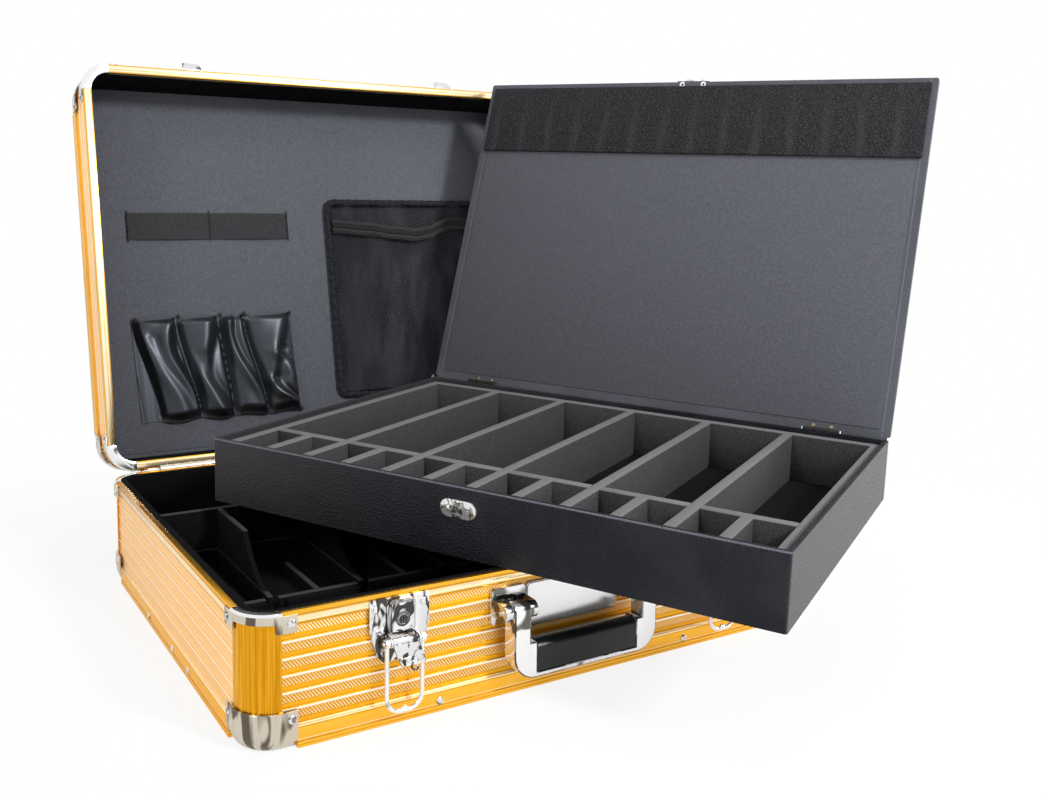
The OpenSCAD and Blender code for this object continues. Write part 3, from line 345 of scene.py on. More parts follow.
# %% Node group: woven cloth
weave, given, made = new_group("Weave", {"Vector": None, "Threads": 1400.0}, ["Height"])
parts = split(weave, given["Vector"])
across = maths(weave, "SINE", maths(weave, "MULTIPLY", parts["X"], given["Threads"]))
along = maths(weave, "SINE", maths(weave, "MULTIPLY", parts["Z"], given["Threads"]))
crossed = maths(weave, "MULTIPLY", maths(weave, "MULTIPLY", across, along), 0.35)
feed(weave, made["Height"], maths(weave, "ADD", crossed, noise(weave, given["Vector"], 420.0, 4.0)))

# %% Node group: leather grain
grain, given, made = new_group("Leather grain", {"Vector": None, "Scale": 520.0}, ["Height", "Creases"])
cells = put(grain, "ShaderNodeTexVoronoi", Vector=given["Vector"], Scale=given["Scale"])
cells.feature = "SMOOTH_F1"
wander = noise(grain, given["Vector"], given["Scale"], 4.0)
feed(grain, made["Height"], maths(grain, "ADD", maths(grain, "MULTIPLY", cells.outputs[0], 0.8),
                                  maths(grain, "MULTIPLY", wander, 0.7)))
feed(grain, made["Creases"], noise(grain, given["Vector"], 22.0, 3.0))

# %% [markdown]
# ### Metal
# Handled metal has smears that change its gloss. The panels carry a pattern that is rolled into the sheet: a
# band starts at a rib, which catches the light and so gets a painted highlight; above it come a plain groove
# with two fine lines, and a strip of slanting strokes that fade upwards. Extrusions have faint lines along
# their length, which are noise that is stretched along one direction. Plated steel mirrors the room in wavy
# streaks, mostly bright, painted into its colour as reflections.

# %% Node group: smears on metal
smears, given, made = new_group("Smears", {"Vector": None, "Scale": 60.0, "From": 0.08, "To": 0.2},
                                ["Roughness"])
blots = noise(smears, given["Vector"], given["Scale"], 5.0)
feed(smears, made["Roughness"], ramp(smears, blots, 0.35, 0.7, given["From"], given["To"], "LINEAR"))

# %% Node group: the rolled pattern of the panels
rolled, given, made = new_group(
    "Rolled bands", {"Along": 0.0, "Up": 0.0, "Start": 0.0, "Pitch": 0.0103, "Lines": 0.0021},
    ["Height", "Strokes", "Rib highlight", "Dark", "Strip"])
risen = maths(rolled, "SUBTRACT", given["Up"], given["Start"])
band = maths(rolled, "FRACT", maths(rolled, "DIVIDE", risen, given["Pitch"]))
from_rib = maths(rolled, "SUBTRACT", 0.5, maths(rolled, "ABSOLUTE", maths(rolled, "SUBTRACT", band, 0.5)))
slant = maths(rolled, "ADD", given["Along"], maths(rolled, "MULTIPLY", given["Up"], 0.78))
part = maths(rolled, "FRACT", maths(rolled, "DIVIDE", slant, given["Lines"]))
stroke = stripe(rolled, part, 0.28, 0.66, 0.08)
fading = maths(rolled, "SUBTRACT", 1.12, maths(rolled, "MULTIPLY", band, 0.62))
strip = stripe(rolled, band, 0.43, 0.90)
strokes = maths(rolled, "MULTIPLY", maths(rolled, "MULTIPLY", stroke, strip), fading)
# The rib's top: a painted highlight, where the rib catches the light.
rib_highlight = maths(rolled, "SUBTRACT", 1.0, ramp(rolled, from_rib, 0.055, 0.075))
fine_lines = maths(rolled, "ADD", stripe(rolled, band, 0.10, 0.15), stripe(rolled, band, 0.37, 0.40))
for label, value in (("Height", maths(rolled, "SUBTRACT", strokes, fine_lines)), ("Strokes", strokes),
                     ("Rib highlight", rib_highlight), ("Dark", fine_lines), ("Strip", strip)):
    feed(rolled, made[label], value)

# %% Node group: drawn metal
drawn, given, made = new_group("Drawn lines", {"Vector": None, "Scale": 900.0}, ["Lines"])
feed(drawn, made["Lines"], ramp(drawn, noise(drawn, given["Vector"], given["Scale"], 2.0), 0.3, 0.7))

# %% Node group: chrome streaks, which are painted reflections
plated, given, made = new_group("Painted reflection streaks", {"Vector": None, "Scale": 30.0, "Dark": 0.40}, ["Streaks"])
bent = noise(plated, given["Vector"], given["Scale"], 1.0, 1.4)
feed(plated, made["Streaks"], ramp(plated, bent, given["Dark"], maths(plated, "ADD", given["Dark"], 0.09)))
print("node groups:", len(bpy.data.node_groups))

# %% [markdown]
# ### From groups to finishes
# A finish is one material: a Principled shader that is fed by groups. Shaders stay in the material, so each
# helper takes the material's own node tree and shader.

# %% Helpers for one finish
def laid_back(tree, where, place):
    """Coordinates in a piece's own drawing, before this matrix put the piece in place."""
    undone = place.inverted()
    return put(tree, "ShaderNodeMapping", Vector=where, Rotation=undone.to_euler(),
               Location=undone.translation).outputs[0]


def finish(name, colour, roughness, metallic=0.0, place=None, **more):
    """A material with a Principled shader, and the Object coordinates that its patterns read. With the matrix
    that put the piece in place, they are the coordinates of its drawing."""
    material = bpy.data.materials.new(name)
    material.use_nodes = True
    tree = material.node_tree
    shader = tree.nodes["Principled BSDF"]
    fill(tree, shader, Base_Color=(*colour, 1), Roughness=roughness, Metallic=metallic, **more)
    where = tree.nodes.new("ShaderNodeTexCoord").outputs["Object"]
    return material, tree, shader, where if place is None else laid_back(tree, where, place)


def grouped(tree, group, **values):
    """The outputs of a node group placed in this tree, with its inputs fed."""
    node = tree.nodes.new("ShaderNodeGroup")
    node.node_tree = group
    return fill(tree, node, **values).outputs


def layered(tree, first, mask, second):
    """A colour laid over another where the mask is 1. Blender numbers a Mix node's colour inputs 6 and 7."""
    mix = tree.nodes.new("ShaderNodeMix")
    mix.data_type = "RGBA"
    tree.links.new(mask, mix.inputs[0])
    feed(tree, mix.inputs[6], first if isinstance(first, bpy.types.NodeSocket) else (*first, 1))
    mix.inputs[7].default_value = (*second, 1)
    return mix.outputs[2]


def coloured(tree, shader, mask, first, second):
    """Base colour from first to second as the mask goes from 0 to 1."""
    colour = layered(tree, first, mask, second)
    tree.links.new(colour, shader.inputs["Base Color"])
    return colour


def stretched(tree, where, scale, rotation=(0, 0, 0)):
    """Coordinates for a pattern that is drawn out along an axis: the smaller its scale, the longer."""
    return put(tree, "ShaderNodeMapping", Vector=where, Rotation=rotation, Scale=scale).outputs[0]


def bumped(tree, shader, height, distance):
    """Relief: this height, times this distance in metres."""
    bump = put(tree, "ShaderNodeBump", Height=height, Distance=distance, Strength=1.0)
    tree.links.new(bump.outputs[0], shader.inputs["Normal"])


# %% [markdown]
# ### Gold
# Anodised aluminium takes its colour in a clear skin, so it is a metal with a warm base colour. The panels'
# pattern starts at a height of the closed case. On the open lid the coordinates are first turned back to
# where the lid is closed, so base and lid are made alike. The side panels are painted paler, as painted light
# for the bright light that falls on them.

# %% Gold panels
# The deep gold serves for the panels' dark lines and for painted shade in the trims' grooves, the pale gold
# for the panels' strokes and for painted highlights on the trims, and the cream is a painted highlight.
gold_deep_line_and_shade = (0.60, 0.26, 0.008)
gold_plain = (0.88, 0.43, 0.022)
gold_light = (1.0, 0.62, 0.16)
gold_pale_stroke_and_highlight = (1.0, 0.86, 0.60)
# The peach of the side panels is painted light.
side_lit_peach = (1.0, 0.68, 0.32)
cream_highlight = (1.0, 0.90, 0.68)


def rolled_gold(name, along, start, pitch, place=None, plain=gold_plain, dark=gold_deep_line_and_shade, pale=gold_pale_stroke_and_highlight,
                rib_highlight=(1.0, 0.93, 0.78)):
    """Anodised panel with rolled bands, which start at this height of the closed case. Each rib gets a
    painted highlight.
    """
    material, tree, shader, where = finish(name, plain, 0.46, 1.0, place)
    parts = split(tree, where)
    bands = grouped(tree, rolled, Along=parts[along], Up=parts["Z"], Start=start * mm,
                    Pitch=pitch * mm)
    colour = layered(tree, plain, maths(tree, "MULTIPLY", bands["Strip"], 0.45), dark)
    colour = layered(tree, colour, bands["Dark"], dark)
    colour = layered(tree, colour, bands["Strokes"], pale)
    # Painted highlight along each rib.
    colour = layered(tree, colour, bands["Rib highlight"], rib_highlight)
    tree.links.new(colour, shader.inputs["Base Color"])
    bumped(tree, shader, bands["Height"], 0.00012)
    return material


base_start, base_panel, base_bands = 14, 62, 6
lid_start, lid_panel, lid_bands = 92, 34, 3
base_pitch, lid_pitch = base_panel / base_bands, lid_panel / lid_bands
# Paler lines and ribs of the side panels: painted light, as on their peach.
side_lit_line = (1.0, 0.74, 0.44)
side_rib_highlight = (1.0, 0.82, 0.58)
gold_front = rolled_gold("Gold panels along the front", "X", base_start, base_pitch)
gold_side_painted_lit = rolled_gold("Gold panels along the sides, painted lit", "Y", base_start, base_pitch, None, side_lit_peach,
                        (1.0, 0.52, 0.14), side_lit_line, side_rib_highlight)
gold_lid_front = rolled_gold("Gold panels along the lid", "X", lid_start, lid_pitch, lid_open)
gold_lid_side_painted_lit = rolled_gold("Gold panels on the lid's sides, painted lit", "Y", lid_start, lid_pitch, lid_open, side_lit_peach,
                            (1.0, 0.50, 0.10), side_lit_line, side_rib_highlight)


# %% [markdown]
# The trim's grooves are fine and shallow. Each shows as a dark stripe of shade with a lit one beside it, so
# painted
# stripes at their heights give them: painted shade and painted highlights. The posts are fluted solids, and
# their finish adds only drawn lines.

# %% Gold trim, posts and sheet
def striped_gold(name, stripes, roughness, place=None, colour=gold_plain, inward=()):
    """Extruded trim: level stripes as (low, high, colour), at heights of the closed case, which are painted
    shade and painted highlights, and faint drawn lines. Stripes listed in inward, painted highlights too, run
    round a level face instead, so far in from its outer edge."""
    material, tree, shader, where = finish(name, colour, roughness, 1.0, place)
    parts = split(tree, where)
    height = parts["Z"]
    shade = colour
    for low, high, tone in stripes:
        shade = layered(tree, shade, stripe(tree, height, low * mm, high * mm, 0.2 * mm), tone)
    for low, high, tone in inward:
        from_side = maths(tree, "SUBTRACT", half_w * mm, maths(tree, "ABSOLUTE", parts["X"]))
        from_front = maths(tree, "SUBTRACT", half_d * mm, maths(tree, "ABSOLUTE", parts["Y"]))
        inset = maths(tree, "MINIMUM", from_side, from_front)
        shade = layered(tree, shade, stripe(tree, inset, low * mm, high * mm, 0.4 * mm), tone)
    lines = grouped(tree, drawn, Vector=stretched(tree, where, (0.04, 0.04, 1)), Scale=1400.0)
    faint = maths(tree, "MULTIPLY", lines[0], 0.30)
    coloured(tree, shader, faint, shade, gold_light)
    return material


# Dark stripes on the trims are painted shade, pale and cream ones painted highlights.
gold_rim = striped_gold(
    "Gold rim trim", ((75.9, 76.8, gold_deep_line_and_shade), (77.2, 80.6, gold_pale_stroke_and_highlight), (80.9, 82.0, gold_deep_line_and_shade)), 0.26)
gold_lid_rim = striped_gold(
    "Gold lid rim trim", ((85.8, 87.1, gold_deep_line_and_shade), (87.4, 90.8, gold_pale_stroke_and_highlight)), 0.26, lid_open,
    (0.82, 0.42, 0.035), ((0.6, 3.3, cream_highlight), (3.9, 5.4, cream_highlight)))
gold_edge = striped_gold(
    "Gold bottom trim", ((1.6, 2.2, gold_deep_line_and_shade), (3.6, 4.4, gold_deep_line_and_shade), (5.0, 5.5, gold_pale_stroke_and_highlight),
                         (12.4, 13.0, gold_deep_line_and_shade), (13.3, 14.6, cream_highlight)), 0.44, None, (0.98, 0.50, 0.035))
gold_lid_edge = striped_gold(
    "Gold top trim", ((126.8, 127.4, gold_deep_line_and_shade), (134.5, 135.0, gold_pale_stroke_and_highlight), (135.6, 136.4, gold_deep_line_and_shade)), 0.30,
    lid_open)


def fluted_gold(name, place=None):
    """Posts: anodised like the trim but darker, with lines that run up the flutes."""
    material, tree, shader, where = finish(name, (0.70, 0.31, 0.01), 0.28, 1.0, place)
    lines = grouped(tree, drawn, Vector=stretched(tree, where, (1, 1, 0.03)), Scale=520.0)
    coloured(tree, shader, lines[0], (0.62, 0.27, 0.008), (0.84, 0.41, 0.02))
    return material


gold_post = fluted_gold("Gold fluted post")
gold_lid_post = fluted_gold("Gold fluted post of the lid", lid_open)


# %% [markdown]
# ### Chrome and plain metal
# Bright chrome has hardly any colour of its own. What it shows is the room, and a white room alone would make
# it flat, so dark streaks are put into its colour. Small fittings get small streaks, and the tall corners
# streaks that are drawn out upwards.

# %% Chrome, steel and brass
def satin(name, colour, second, near, far, scale=60.0):
    """Plain metal: slight clouds in its colour and smears in its gloss."""
    material, tree, shader, where = finish(name, colour, near, 1.0)
    blur = grouped(tree, smears, Vector=where, Scale=scale, From=near, To=far)
    tree.links.new(blur[0], shader.inputs["Roughness"])
    cloud = grouped(tree, pores, Vector=where, Scale=scale * 3)
    coloured(tree, shader, cloud["Clouds"], colour, second)
    return material


def plated_steel(name, dark, bright, roughness, scale, share=0.36, tall=1.0, metal=1.0, near_rim=None):
    """Bright plated steel, with painted reflections: dark streaks stand for what it mirrors. The dark streaks
    take up more as share goes up, and tall draws them out upwards. For corners near_rim is the matrix that
    put them in place, because their level face at the rim gets a painted reflection that is all bright."""
    material, tree, shader, where = finish(name, bright, roughness, metal)
    streaks = grouped(tree, plated, Vector=stretched(tree, where, (1, 1, 1 / tall)), Scale=scale, Dark=share)
    streaked = coloured(tree, shader, streaks[0], dark, bright)
    if near_rim is not None:
        height = split(tree, laid_back(tree, where, near_rim))["Z"]
        # Painted reflection: the level face at the rim is painted bright.
        level = stripe(tree, height, (rim_z - 1.4) * mm, (rim_z + 1.4) * mm, 0.3 * mm)
        coloured(tree, shader, level, streaked, (0.86, 0.86, 0.86))
    return material


gold_sheet = satin("Gold sheet", (0.86, 0.42, 0.02), (0.94, 0.5, 0.05), 0.28, 0.42)
chrome = plated_steel("Chrome", (0.16, 0.155, 0.15), (0.76, 0.76, 0.76), 0.14, 30.0)
chrome_edge = plated_steel("Chrome edges", (0.06, 0.057, 0.055), (0.36, 0.355, 0.35), 0.18, 55.0, 0.44)
chrome_corner = plated_steel("Chrome corners", (0.13, 0.105, 0.08), (0.62, 0.57, 0.47), 0.14, 80.0, 0.34,
                             5.0, near_rim=Matrix())
chrome_lid_corner = plated_steel("Chrome corners of the lid", (0.12, 0.10, 0.08), (0.66, 0.63, 0.57), 0.14,
                                 95.0, 0.40, 4.0, near_rim=lid_open)
bright_chrome = plated_steel("Chrome handle", (0.30, 0.29, 0.28), (0.86, 0.86, 0.86), 0.22, 16.0, 0.30,
                             metal=0.78)
small_chrome = plated_steel("Chrome of small fittings", (0.16, 0.15, 0.14), (0.86, 0.86, 0.85), 0.14, 210.0,
                            0.42, metal=0.6)
latch_chrome = plated_steel("Chrome of the latches", (0.07, 0.067, 0.065), (0.80, 0.80, 0.80), 0.12, 120.0,
                            0.44, 2.0)
frame_chrome = plated_steel("Chrome of the handle's frame", (0.13, 0.12, 0.11), (0.88, 0.88, 0.88), 0.16,
                            30.0, 0.34, metal=0.85)
rivet_chrome = plated_steel("Chrome rivets", (0.24, 0.23, 0.22), (0.76, 0.75, 0.74), 0.24, 260.0, 0.42)
steel = satin("Zinc plated steel", (0.46, 0.45, 0.43), (0.58, 0.57, 0.54), 0.25, 0.45, 90.0)
# A near-black steel, which the tray's hinges get.
dull_steel = satin("Near-black steel", (0.022, 0.021, 0.020), (0.04, 0.038, 0.036), 0.4, 0.6, 90.0)
brass = satin("Browned brass screw", (0.09, 0.07, 0.045), (0.28, 0.21, 0.13), 0.3, 0.5, 700.0)


# %% [markdown]
# ### Foam, cloth, leatherette and vinyl
# These are dark and rough, so their texture is what tells them apart. Painted light follows the piece and not
# the
# room: tops and edges that catch the light are painted paler as highlights, the tray's front is painted paler
# towards its left end, and a painted highlight runs along a fold on the lid's sides. Its place is measured
# where the piece was drawn, so each such finish first undoes the matrix that put the piece in place.

# %% Foam, board, cloth and leatherette
def spongy(name, dark, light, scale, depth, lit_tops_and_streaks=(), shine=0.2, lit_top_colour=(0.055, 0.055, 0.060),
           place=Matrix()):
    """Foam or flocked board: open pores, lighter specks between them. At the given heights, the tops that
    catch the light, it gets a painted highlight; they are measured where the piece is drawn, before the
    matrix in place moved it."""
    material, tree, shader, where = finish(name, light, 0.95, Specular_IOR_Level=shine)
    texture = grouped(tree, pores, Vector=where, Scale=scale, Low=0.35, High=0.65)
    speckled = layered(tree, dark, texture["Pores"], light)
    height = split(tree, laid_back(tree, where, place))["Z"]
    for low, high in lit_tops_and_streaks:
        # Painted highlight at each lit top.
        speckled = layered(tree, speckled, stripe(tree, height, low * mm, high * mm, 0.4 * mm), lit_top_colour)
    tree.links.new(speckled, shader.inputs["Base Color"])
    bumped(tree, shader, texture["Pores"], depth)
    return material


def woven(name, dark, light, threads, depth, **more):
    """Cloth or webbing, dark between its threads."""
    material, tree, shader, where = finish(name, light, 0.85, **more)
    cloth = grouped(tree, weave, Vector=where, Threads=threads)
    coloured(tree, shader, ramp(tree, cloth["Height"], 0.15, 0.85), dark, light)
    bumped(tree, shader, cloth["Height"], depth)
    return material


def creased(tree, shader, where, scale, depth, dark, light):
    """The relief of a grained hide, and its colour, from dark to light with its creases."""
    hide = grouped(tree, grain, Vector=where, Scale=scale)
    bumped(tree, shader, hide["Height"], depth)
    return coloured(tree, shader, ramp(tree, hide["Creases"], 0.35, 0.7), dark, light)


def leather(name, dark, light, scale, depth, roughness, **more):
    """Grained hide or vinyl, a little uneven in colour."""
    material, tree, shader, where = finish(name, dark, roughness, **more)
    creased(tree, shader, where, scale, depth, dark, light)
    return material


def streaked_foam(name):
    """Open black foam with light specks, and lighter streaks across it, some 30 mm apart, fainter towards the
    lid's front edge.
    """
    material, tree, shader, where = finish(name, (0.04, 0.04, 0.042), 0.95, Specular_IOR_Level=0.15)
    texture = grouped(tree, pores, Vector=where, Scale=1000.0, Low=0.50, High=0.76)
    parts = split(tree, laid_back(tree, where, in_tray_lid))
    clouded = grouped(tree, pores, Vector=where, Scale=30.0)["Clouds"]
    along = maths(tree, "ADD", parts["X"], maths(tree, "MULTIPLY", clouded, 10 * mm))
    steps = maths(tree, "FRACT", maths(tree, "DIVIDE", along, 30 * mm))
    inwards = ramp(tree, parts["Y"], 12 * mm, 55 * mm)
    lower = maths(tree, "ADD", 0.25, maths(tree, "MULTIPLY", inwards, 0.75))
    streak = maths(tree, "MULTIPLY", stripe(tree, steps, 0.40, 0.56, 0.14), 0.13)
    lit_tops_and_streaks = maths(tree, "MULTIPLY", streak, lower)
    speckled = layered(tree, (0.021, 0.021, 0.023), texture["Pores"], (0.105, 0.105, 0.115))
    coloured(tree, shader, lit_tops_and_streaks, speckled, (0.17, 0.17, 0.18))
    bumped(tree, shader, texture["Pores"], 0.0004)
    return material


def box_leather(name):
    """Leatherette of the tray's box, with painted light: it is painted paler towards the front's left end,
    with a painted sheen on the tray's right end and a painted highlight along the front's top edge."""
    material, tree, shader, where = finish(name, (0.007, 0.008, 0.011), 0.42, Specular_IOR_Level=0.22,
                                           Specular_Tint=(0.84, 0.90, 1.0, 1.0))
    hue = creased(tree, shader, where, 1000.0, 0.0012, (0.007, 0.008, 0.011), (0.020, 0.021, 0.026))
    parts = split(tree, laid_back(tree, where, in_tray))
    # Painted light and sheen, and a painted highlight along the top edge, below.
    painted_light_leftwards = ramp(tree, maths(tree, "MULTIPLY", parts["X"], -1.0), -50 * mm, 240 * mm)
    hue = layered(tree, hue, maths(tree, "MULTIPLY", painted_light_leftwards, 0.85), (0.044, 0.043, 0.045))
    painted_sheen_right_end = ramp(tree, parts["X"], (tray_w / 2 - 0.9) * mm, (tray_w / 2 - 0.2) * mm)
    hue = layered(tree, hue, painted_sheen_right_end, (0.074, 0.072, 0.071))
    painted_highlight_at_top = ramp(tree, parts["Z"], (tray_h - 1.2) * mm, (tray_h - 0.6) * mm)
    in_front = maths(tree, "SUBTRACT", 1.0, ramp(tree, parts["Y"], 0.6 * mm, 1.2 * mm))
    coloured(tree, shader, maths(tree, "MULTIPLY", painted_highlight_at_top, in_front), hue, (0.17, 0.175, 0.20))
    return material


def folded_leather(name):
    """Leatherette of the tray's lid, with a painted highlight line where it is folded over the board's edge.
    """
    material, tree, shader, where = finish(name, (0.09, 0.093, 0.11), 0.6, Specular_IOR_Level=0.25)
    hue = creased(tree, shader, where, 620.0, 0.0003, (0.078, 0.082, 0.098), (0.100, 0.104, 0.124))
    parts = split(tree, laid_back(tree, where, in_tray_lid))
    from_end = maths(tree, "SUBTRACT", tray_w / 2 * mm, maths(tree, "ABSOLUTE", parts["X"]))
    # Painted highlight along the fold.
    coloured(tree, shader, stripe(tree, from_end, 5.8 * mm, 6.6 * mm, 0.4 * mm), hue, (0.15, 0.155, 0.18))
    return material


def bunched_thread(name):
    """Net thread, paler where the net's slanting folds catch the light."""
    material, tree, shader, where = finish(name, (0.006, 0.006, 0.008), 0.8, Specular_IOR_Level=0.2)
    slanted = stretched(tree, where, (1, 1, 0.16), (0, math.radians(-28), 0))
    lit = ramp(tree, noise(tree, slanted, 58.0, 2.0), 0.42, 0.62)
    coloured(tree, shader, lit, (0.0015, 0.0015, 0.002), (0.034, 0.037, 0.046))
    return material


lining_black = spongy("Black lining", (0.002, 0.002, 0.0025), (0.006, 0.006, 0.007), 1500.0, 0.00012, (),
                      0.08)
# The heights given to the divider board and the grey foam are their tops, which get a painted highlight.
divider_black = spongy("Black divider board", (0.003, 0.003, 0.0035), (0.009, 0.009, 0.010), 1500.0, 0.00015,
                       ((46.2, 47.4), (78.2, 79.4)), 0.08)
tray_foam = spongy("Grey foam", (0.040, 0.040, 0.042), (0.088, 0.088, 0.090), 1100.0, 0.0002,
                   ((44.0, 45.0),), 0.2, (0.185, 0.185, 0.188), in_tray)
floor_mat = spongy("Dark floor mat", (0.004, 0.004, 0.005), (0.012, 0.012, 0.013), 1200.0, 0.0002, (), 0.1)
strip_foam = streaked_foam("Black open foam")
lid_cloth = woven("Grey lid cloth", (0.066, 0.070, 0.086), (0.118, 0.123, 0.148), 4200.0, 0.00015)
panel_cloth = woven("Grey panel cloth", (0.072, 0.074, 0.090), (0.115, 0.118, 0.140), 5200.0, 0.00012)
webbing = woven("Black elastic webbing", (0.010, 0.011, 0.012), (0.034, 0.036, 0.041), 5200.0, 0.0002)
mesh_thread = bunched_thread("Black mesh thread")
bunched_net = woven("Black bunched net", (0.002, 0.002, 0.003), (0.030, 0.032, 0.038), 1900.0, 0.0006,
                    Specular_IOR_Level=0.2)
zip_cloth = woven("Zip tape", (0.014, 0.014, 0.016), (0.042, 0.041, 0.041), 4200.0, 0.0002,
                  Specular_IOR_Level=0.3)
leatherette = box_leather("Black leatherette")
lid_leather = folded_leather("Grey leatherette")
vinyl = leather("Black vinyl", (0.002, 0.002, 0.003), (0.005, 0.005, 0.007), 380.0, 0.00003, 0.40,
                Specular_IOR_Level=0.80, Specular_Tint=(0.80, 0.88, 1.0, 1.0))
grip_rubber = leather("Black grip", (0.004, 0.004, 0.005), (0.009, 0.009, 0.010), 900.0, 0.00006, 0.30,
                      Specular_IOR_Level=0.35)
dark_slot = finish("Black enamel", (0.01, 0.01, 0.01), 0.35)[0]
print("materials:", len(bpy.data.materials))

# %% [markdown]
# ## The metal case
# On a real case no edge is knife sharp: extrusions and pressed corners all have a small radius that catches
# the light. Each such solid is copied, cleaned and bevelled, and the copy stands for the solid. Round pieces,
# such as rivets, posts and wire, have no such edges. They keep their exact solid and only get a finish.

# %% Panels, trim, posts and corners
def finished(material, *nodes):
    """Gives the exact solids of these nodes a finish."""
    for node in nodes:
        painted(frame["nodes"][node], material)


def count_eased():
    """How many copies stand for a node so far."""
    return sum(piece.name.endswith("_eased") for piece in bpy.data.objects)


eased("base_long_panels", 0.25, gold_front)
eased("base_side_panels", 0.25, gold_side_painted_lit)
eased("lid_long_panels", 0.25, gold_lid_front)
eased("lid_side_panels", 0.25, gold_lid_side_painted_lit)
for node, material in (("base_edge_trim", gold_edge), ("base_rim_trim", gold_rim),
                       ("lid_edge_trim", gold_lid_edge), ("lid_rim_trim", gold_lid_rim)):
    eased(node, 0.35, material)
finished(gold_post, "base_posts")
finished(gold_lid_post, "lid_posts")
finished(gold_sheet, "base_bottom", "lid_top")
eased("base_corners", 0.4, chrome_corner, degrees=40, edge=bright_chrome)
eased("lid_corners", 0.4, chrome_lid_corner, degrees=40, edge=bright_chrome)
finished(rivet_chrome, "base_rivets", "lid_rivets", "front_pivot_pins")
finished(steel, "base_hinges", "lid_hinge_leaves")
finished(dull_steel, "tray_hinges", "tray_lid_leaves")
print("pieces eased:", count_eased())

# %% [markdown]
# The latches, the handle and the small fittings are pressed and cast steel, plated all over. Their bevels get
# a second finish, because a plated edge mirrors another part of the room than the faces beside it.

# %% Latches and handle
for node in ("latch_plates", "lock_housings"):
    eased(node, 0.4, latch_chrome, edge=chrome_edge)
eased("lid_keepers", 0.4, chrome, edge=chrome_edge)
eased("handle_plate", 0.3, bright_chrome, edge=chrome_edge)
for side in ("left", "right"):
    eased("latch_lever_" + side, 0.4, latch_chrome, edge=bright_chrome)
    finished(bright_chrome, "latch_bail_" + side)
    eased("lock_cylinder_" + side, 0.2, dark_slot, edge=bright_chrome)
eased("tray_catch", 0.25, small_chrome, edge=bright_chrome)
eased("handle_brackets", 0.6, chrome, edge=chrome_edge)
eased("handle_frame", 1.0, frame_chrome, segments=3, edge=chrome_edge)
eased("handle_grip", 1.0, grip_rubber, segments=3)
for node in ("tray_stop", "tray_hasp_base", "tray_hasp"):
    eased(node, 0.25, bright_chrome, edge=chrome_edge)
print("pieces eased:", count_eased())

# %% [markdown]
# ## Linings and dividers
# Foam and covered board have soft edges of about a millimetre, so they are bevelled more widely than metal.

# %% Soft-edged boards and foam
for node in ("base_lining", "lid_lining"):
    eased(node, 0.8, lining_black)
for node in ("cross_divider", "long_dividers", "low_dividers", "floor_pads"):
    eased(node, 0.9, divider_black, segments=3)
for node in ("tray_lining", "tray_long_dividers", "tray_front_dividers"):
    eased(node, 0.6, tray_foam)
eased("tray_floor_mat", 0.3, floor_mat)
eased("lid_board", 0.5, lid_cloth)
eased("tray_box", 0.9, leatherette, segments=3, whole=False)
eased("tray_lid_panel", 1.0, lid_leather, segments=3, whole=False)
eased("tray_lid_foam", 0.8, strip_foam, segments=3)
print("pieces eased:", count_eased())

# %% [markdown]
# ## The tray lid's inner face
# The lid is a board wrapped in leatherette. A thinner board, covered in grey cloth, is glued inside it and
# leaves a border all round, which just clears the tray's walls when the lid is shut. It is a bevelled block,
# sunk a little into the lid so that no gap shows under its edge.

# %% Inner panel of the tray's lid
lid_face_z = tray_h + play
panel_half = tray_w / 2 - 9
panel_front, panel_back = 9.5, 302.5
inner_panel = box("tray_lid_inner_panel", (-panel_half, panel_front, lid_face_z - 0.6),
                  (panel_half, panel_back, lid_face_z + 0.3), 0.5)
smooth(settle(inner_panel, in_tray_lid))
fitted(inner_panel, "tray_lid_panel", panel_cloth)
print("inner panel:", 2 * panel_half, "by", panel_back - panel_front, "mm")

# %% [markdown]
# Small brown screws come through the border, two by each hinge, and the rivets of the hasp end in two rings.
# Each is a flattened sphere or torus, sunk into the face so that only its rounded top shows, and all of a
# kind are one piece.

# %% Screws and rivet rings in the border
hinge_screws = (-167.3, -152.4, 155.3, 170.0)
hasp_rivets = (-10.2, 10.4)
screw_y, rivet_y = 306.4, 2.6
tip_z, ring_z = 48.28, 48.26
tip = partial(bpy.ops.mesh.primitive_uv_sphere_add, segments=16, ring_count=8, radius=1.7 * mm)
ring = partial(bpy.ops.mesh.primitive_torus_add, major_radius=1.9 * mm, minor_radius=0.65 * mm,
               major_segments=24, minor_segments=8)
screw_tips = scattered("tray_lid_screw_tips", tip, [(x, screw_y, tip_z) for x in hinge_screws], (1, 1, 0.14),
                       in_tray_lid)
fitted(screw_tips, "tray_lid_panel", brass)
rivet_rings = scattered("tray_lid_rivet_rings", ring, [(x, rivet_y, ring_z) for x in hasp_rivets],
                        (1, 1, 0.3), in_tray_lid)
fitted(rivet_rings, "tray_lid_panel", bright_chrome)
print("screws and rings:", len(hinge_screws) + len(hasp_rivets))

# %% [markdown]
# ## The pockets in the lid
# The vinyl is wider than the board it is sewn to, so each pocket stands out and folds over its seam. A grid
# is pushed out in code: a bulge for each pocket, and ridges that run down and across it as real folds do.

# %% Vinyl pockets
def ridge(value, centre, width):
    """A rounded bump: 1 at its centre, 0 well away from it."""
    return math.exp(-((value - centre) / width) ** 2)


# Where the folds between the pockets start at the top and end at the foot, in parts of the row's width.
folds_top = (0.0, 0.265, 0.53, 0.69, 1.0)
folds_foot = (0.11, 0.36, 0.57, 0.79, 1.02)
bulge, skin = 10.5, 1.1
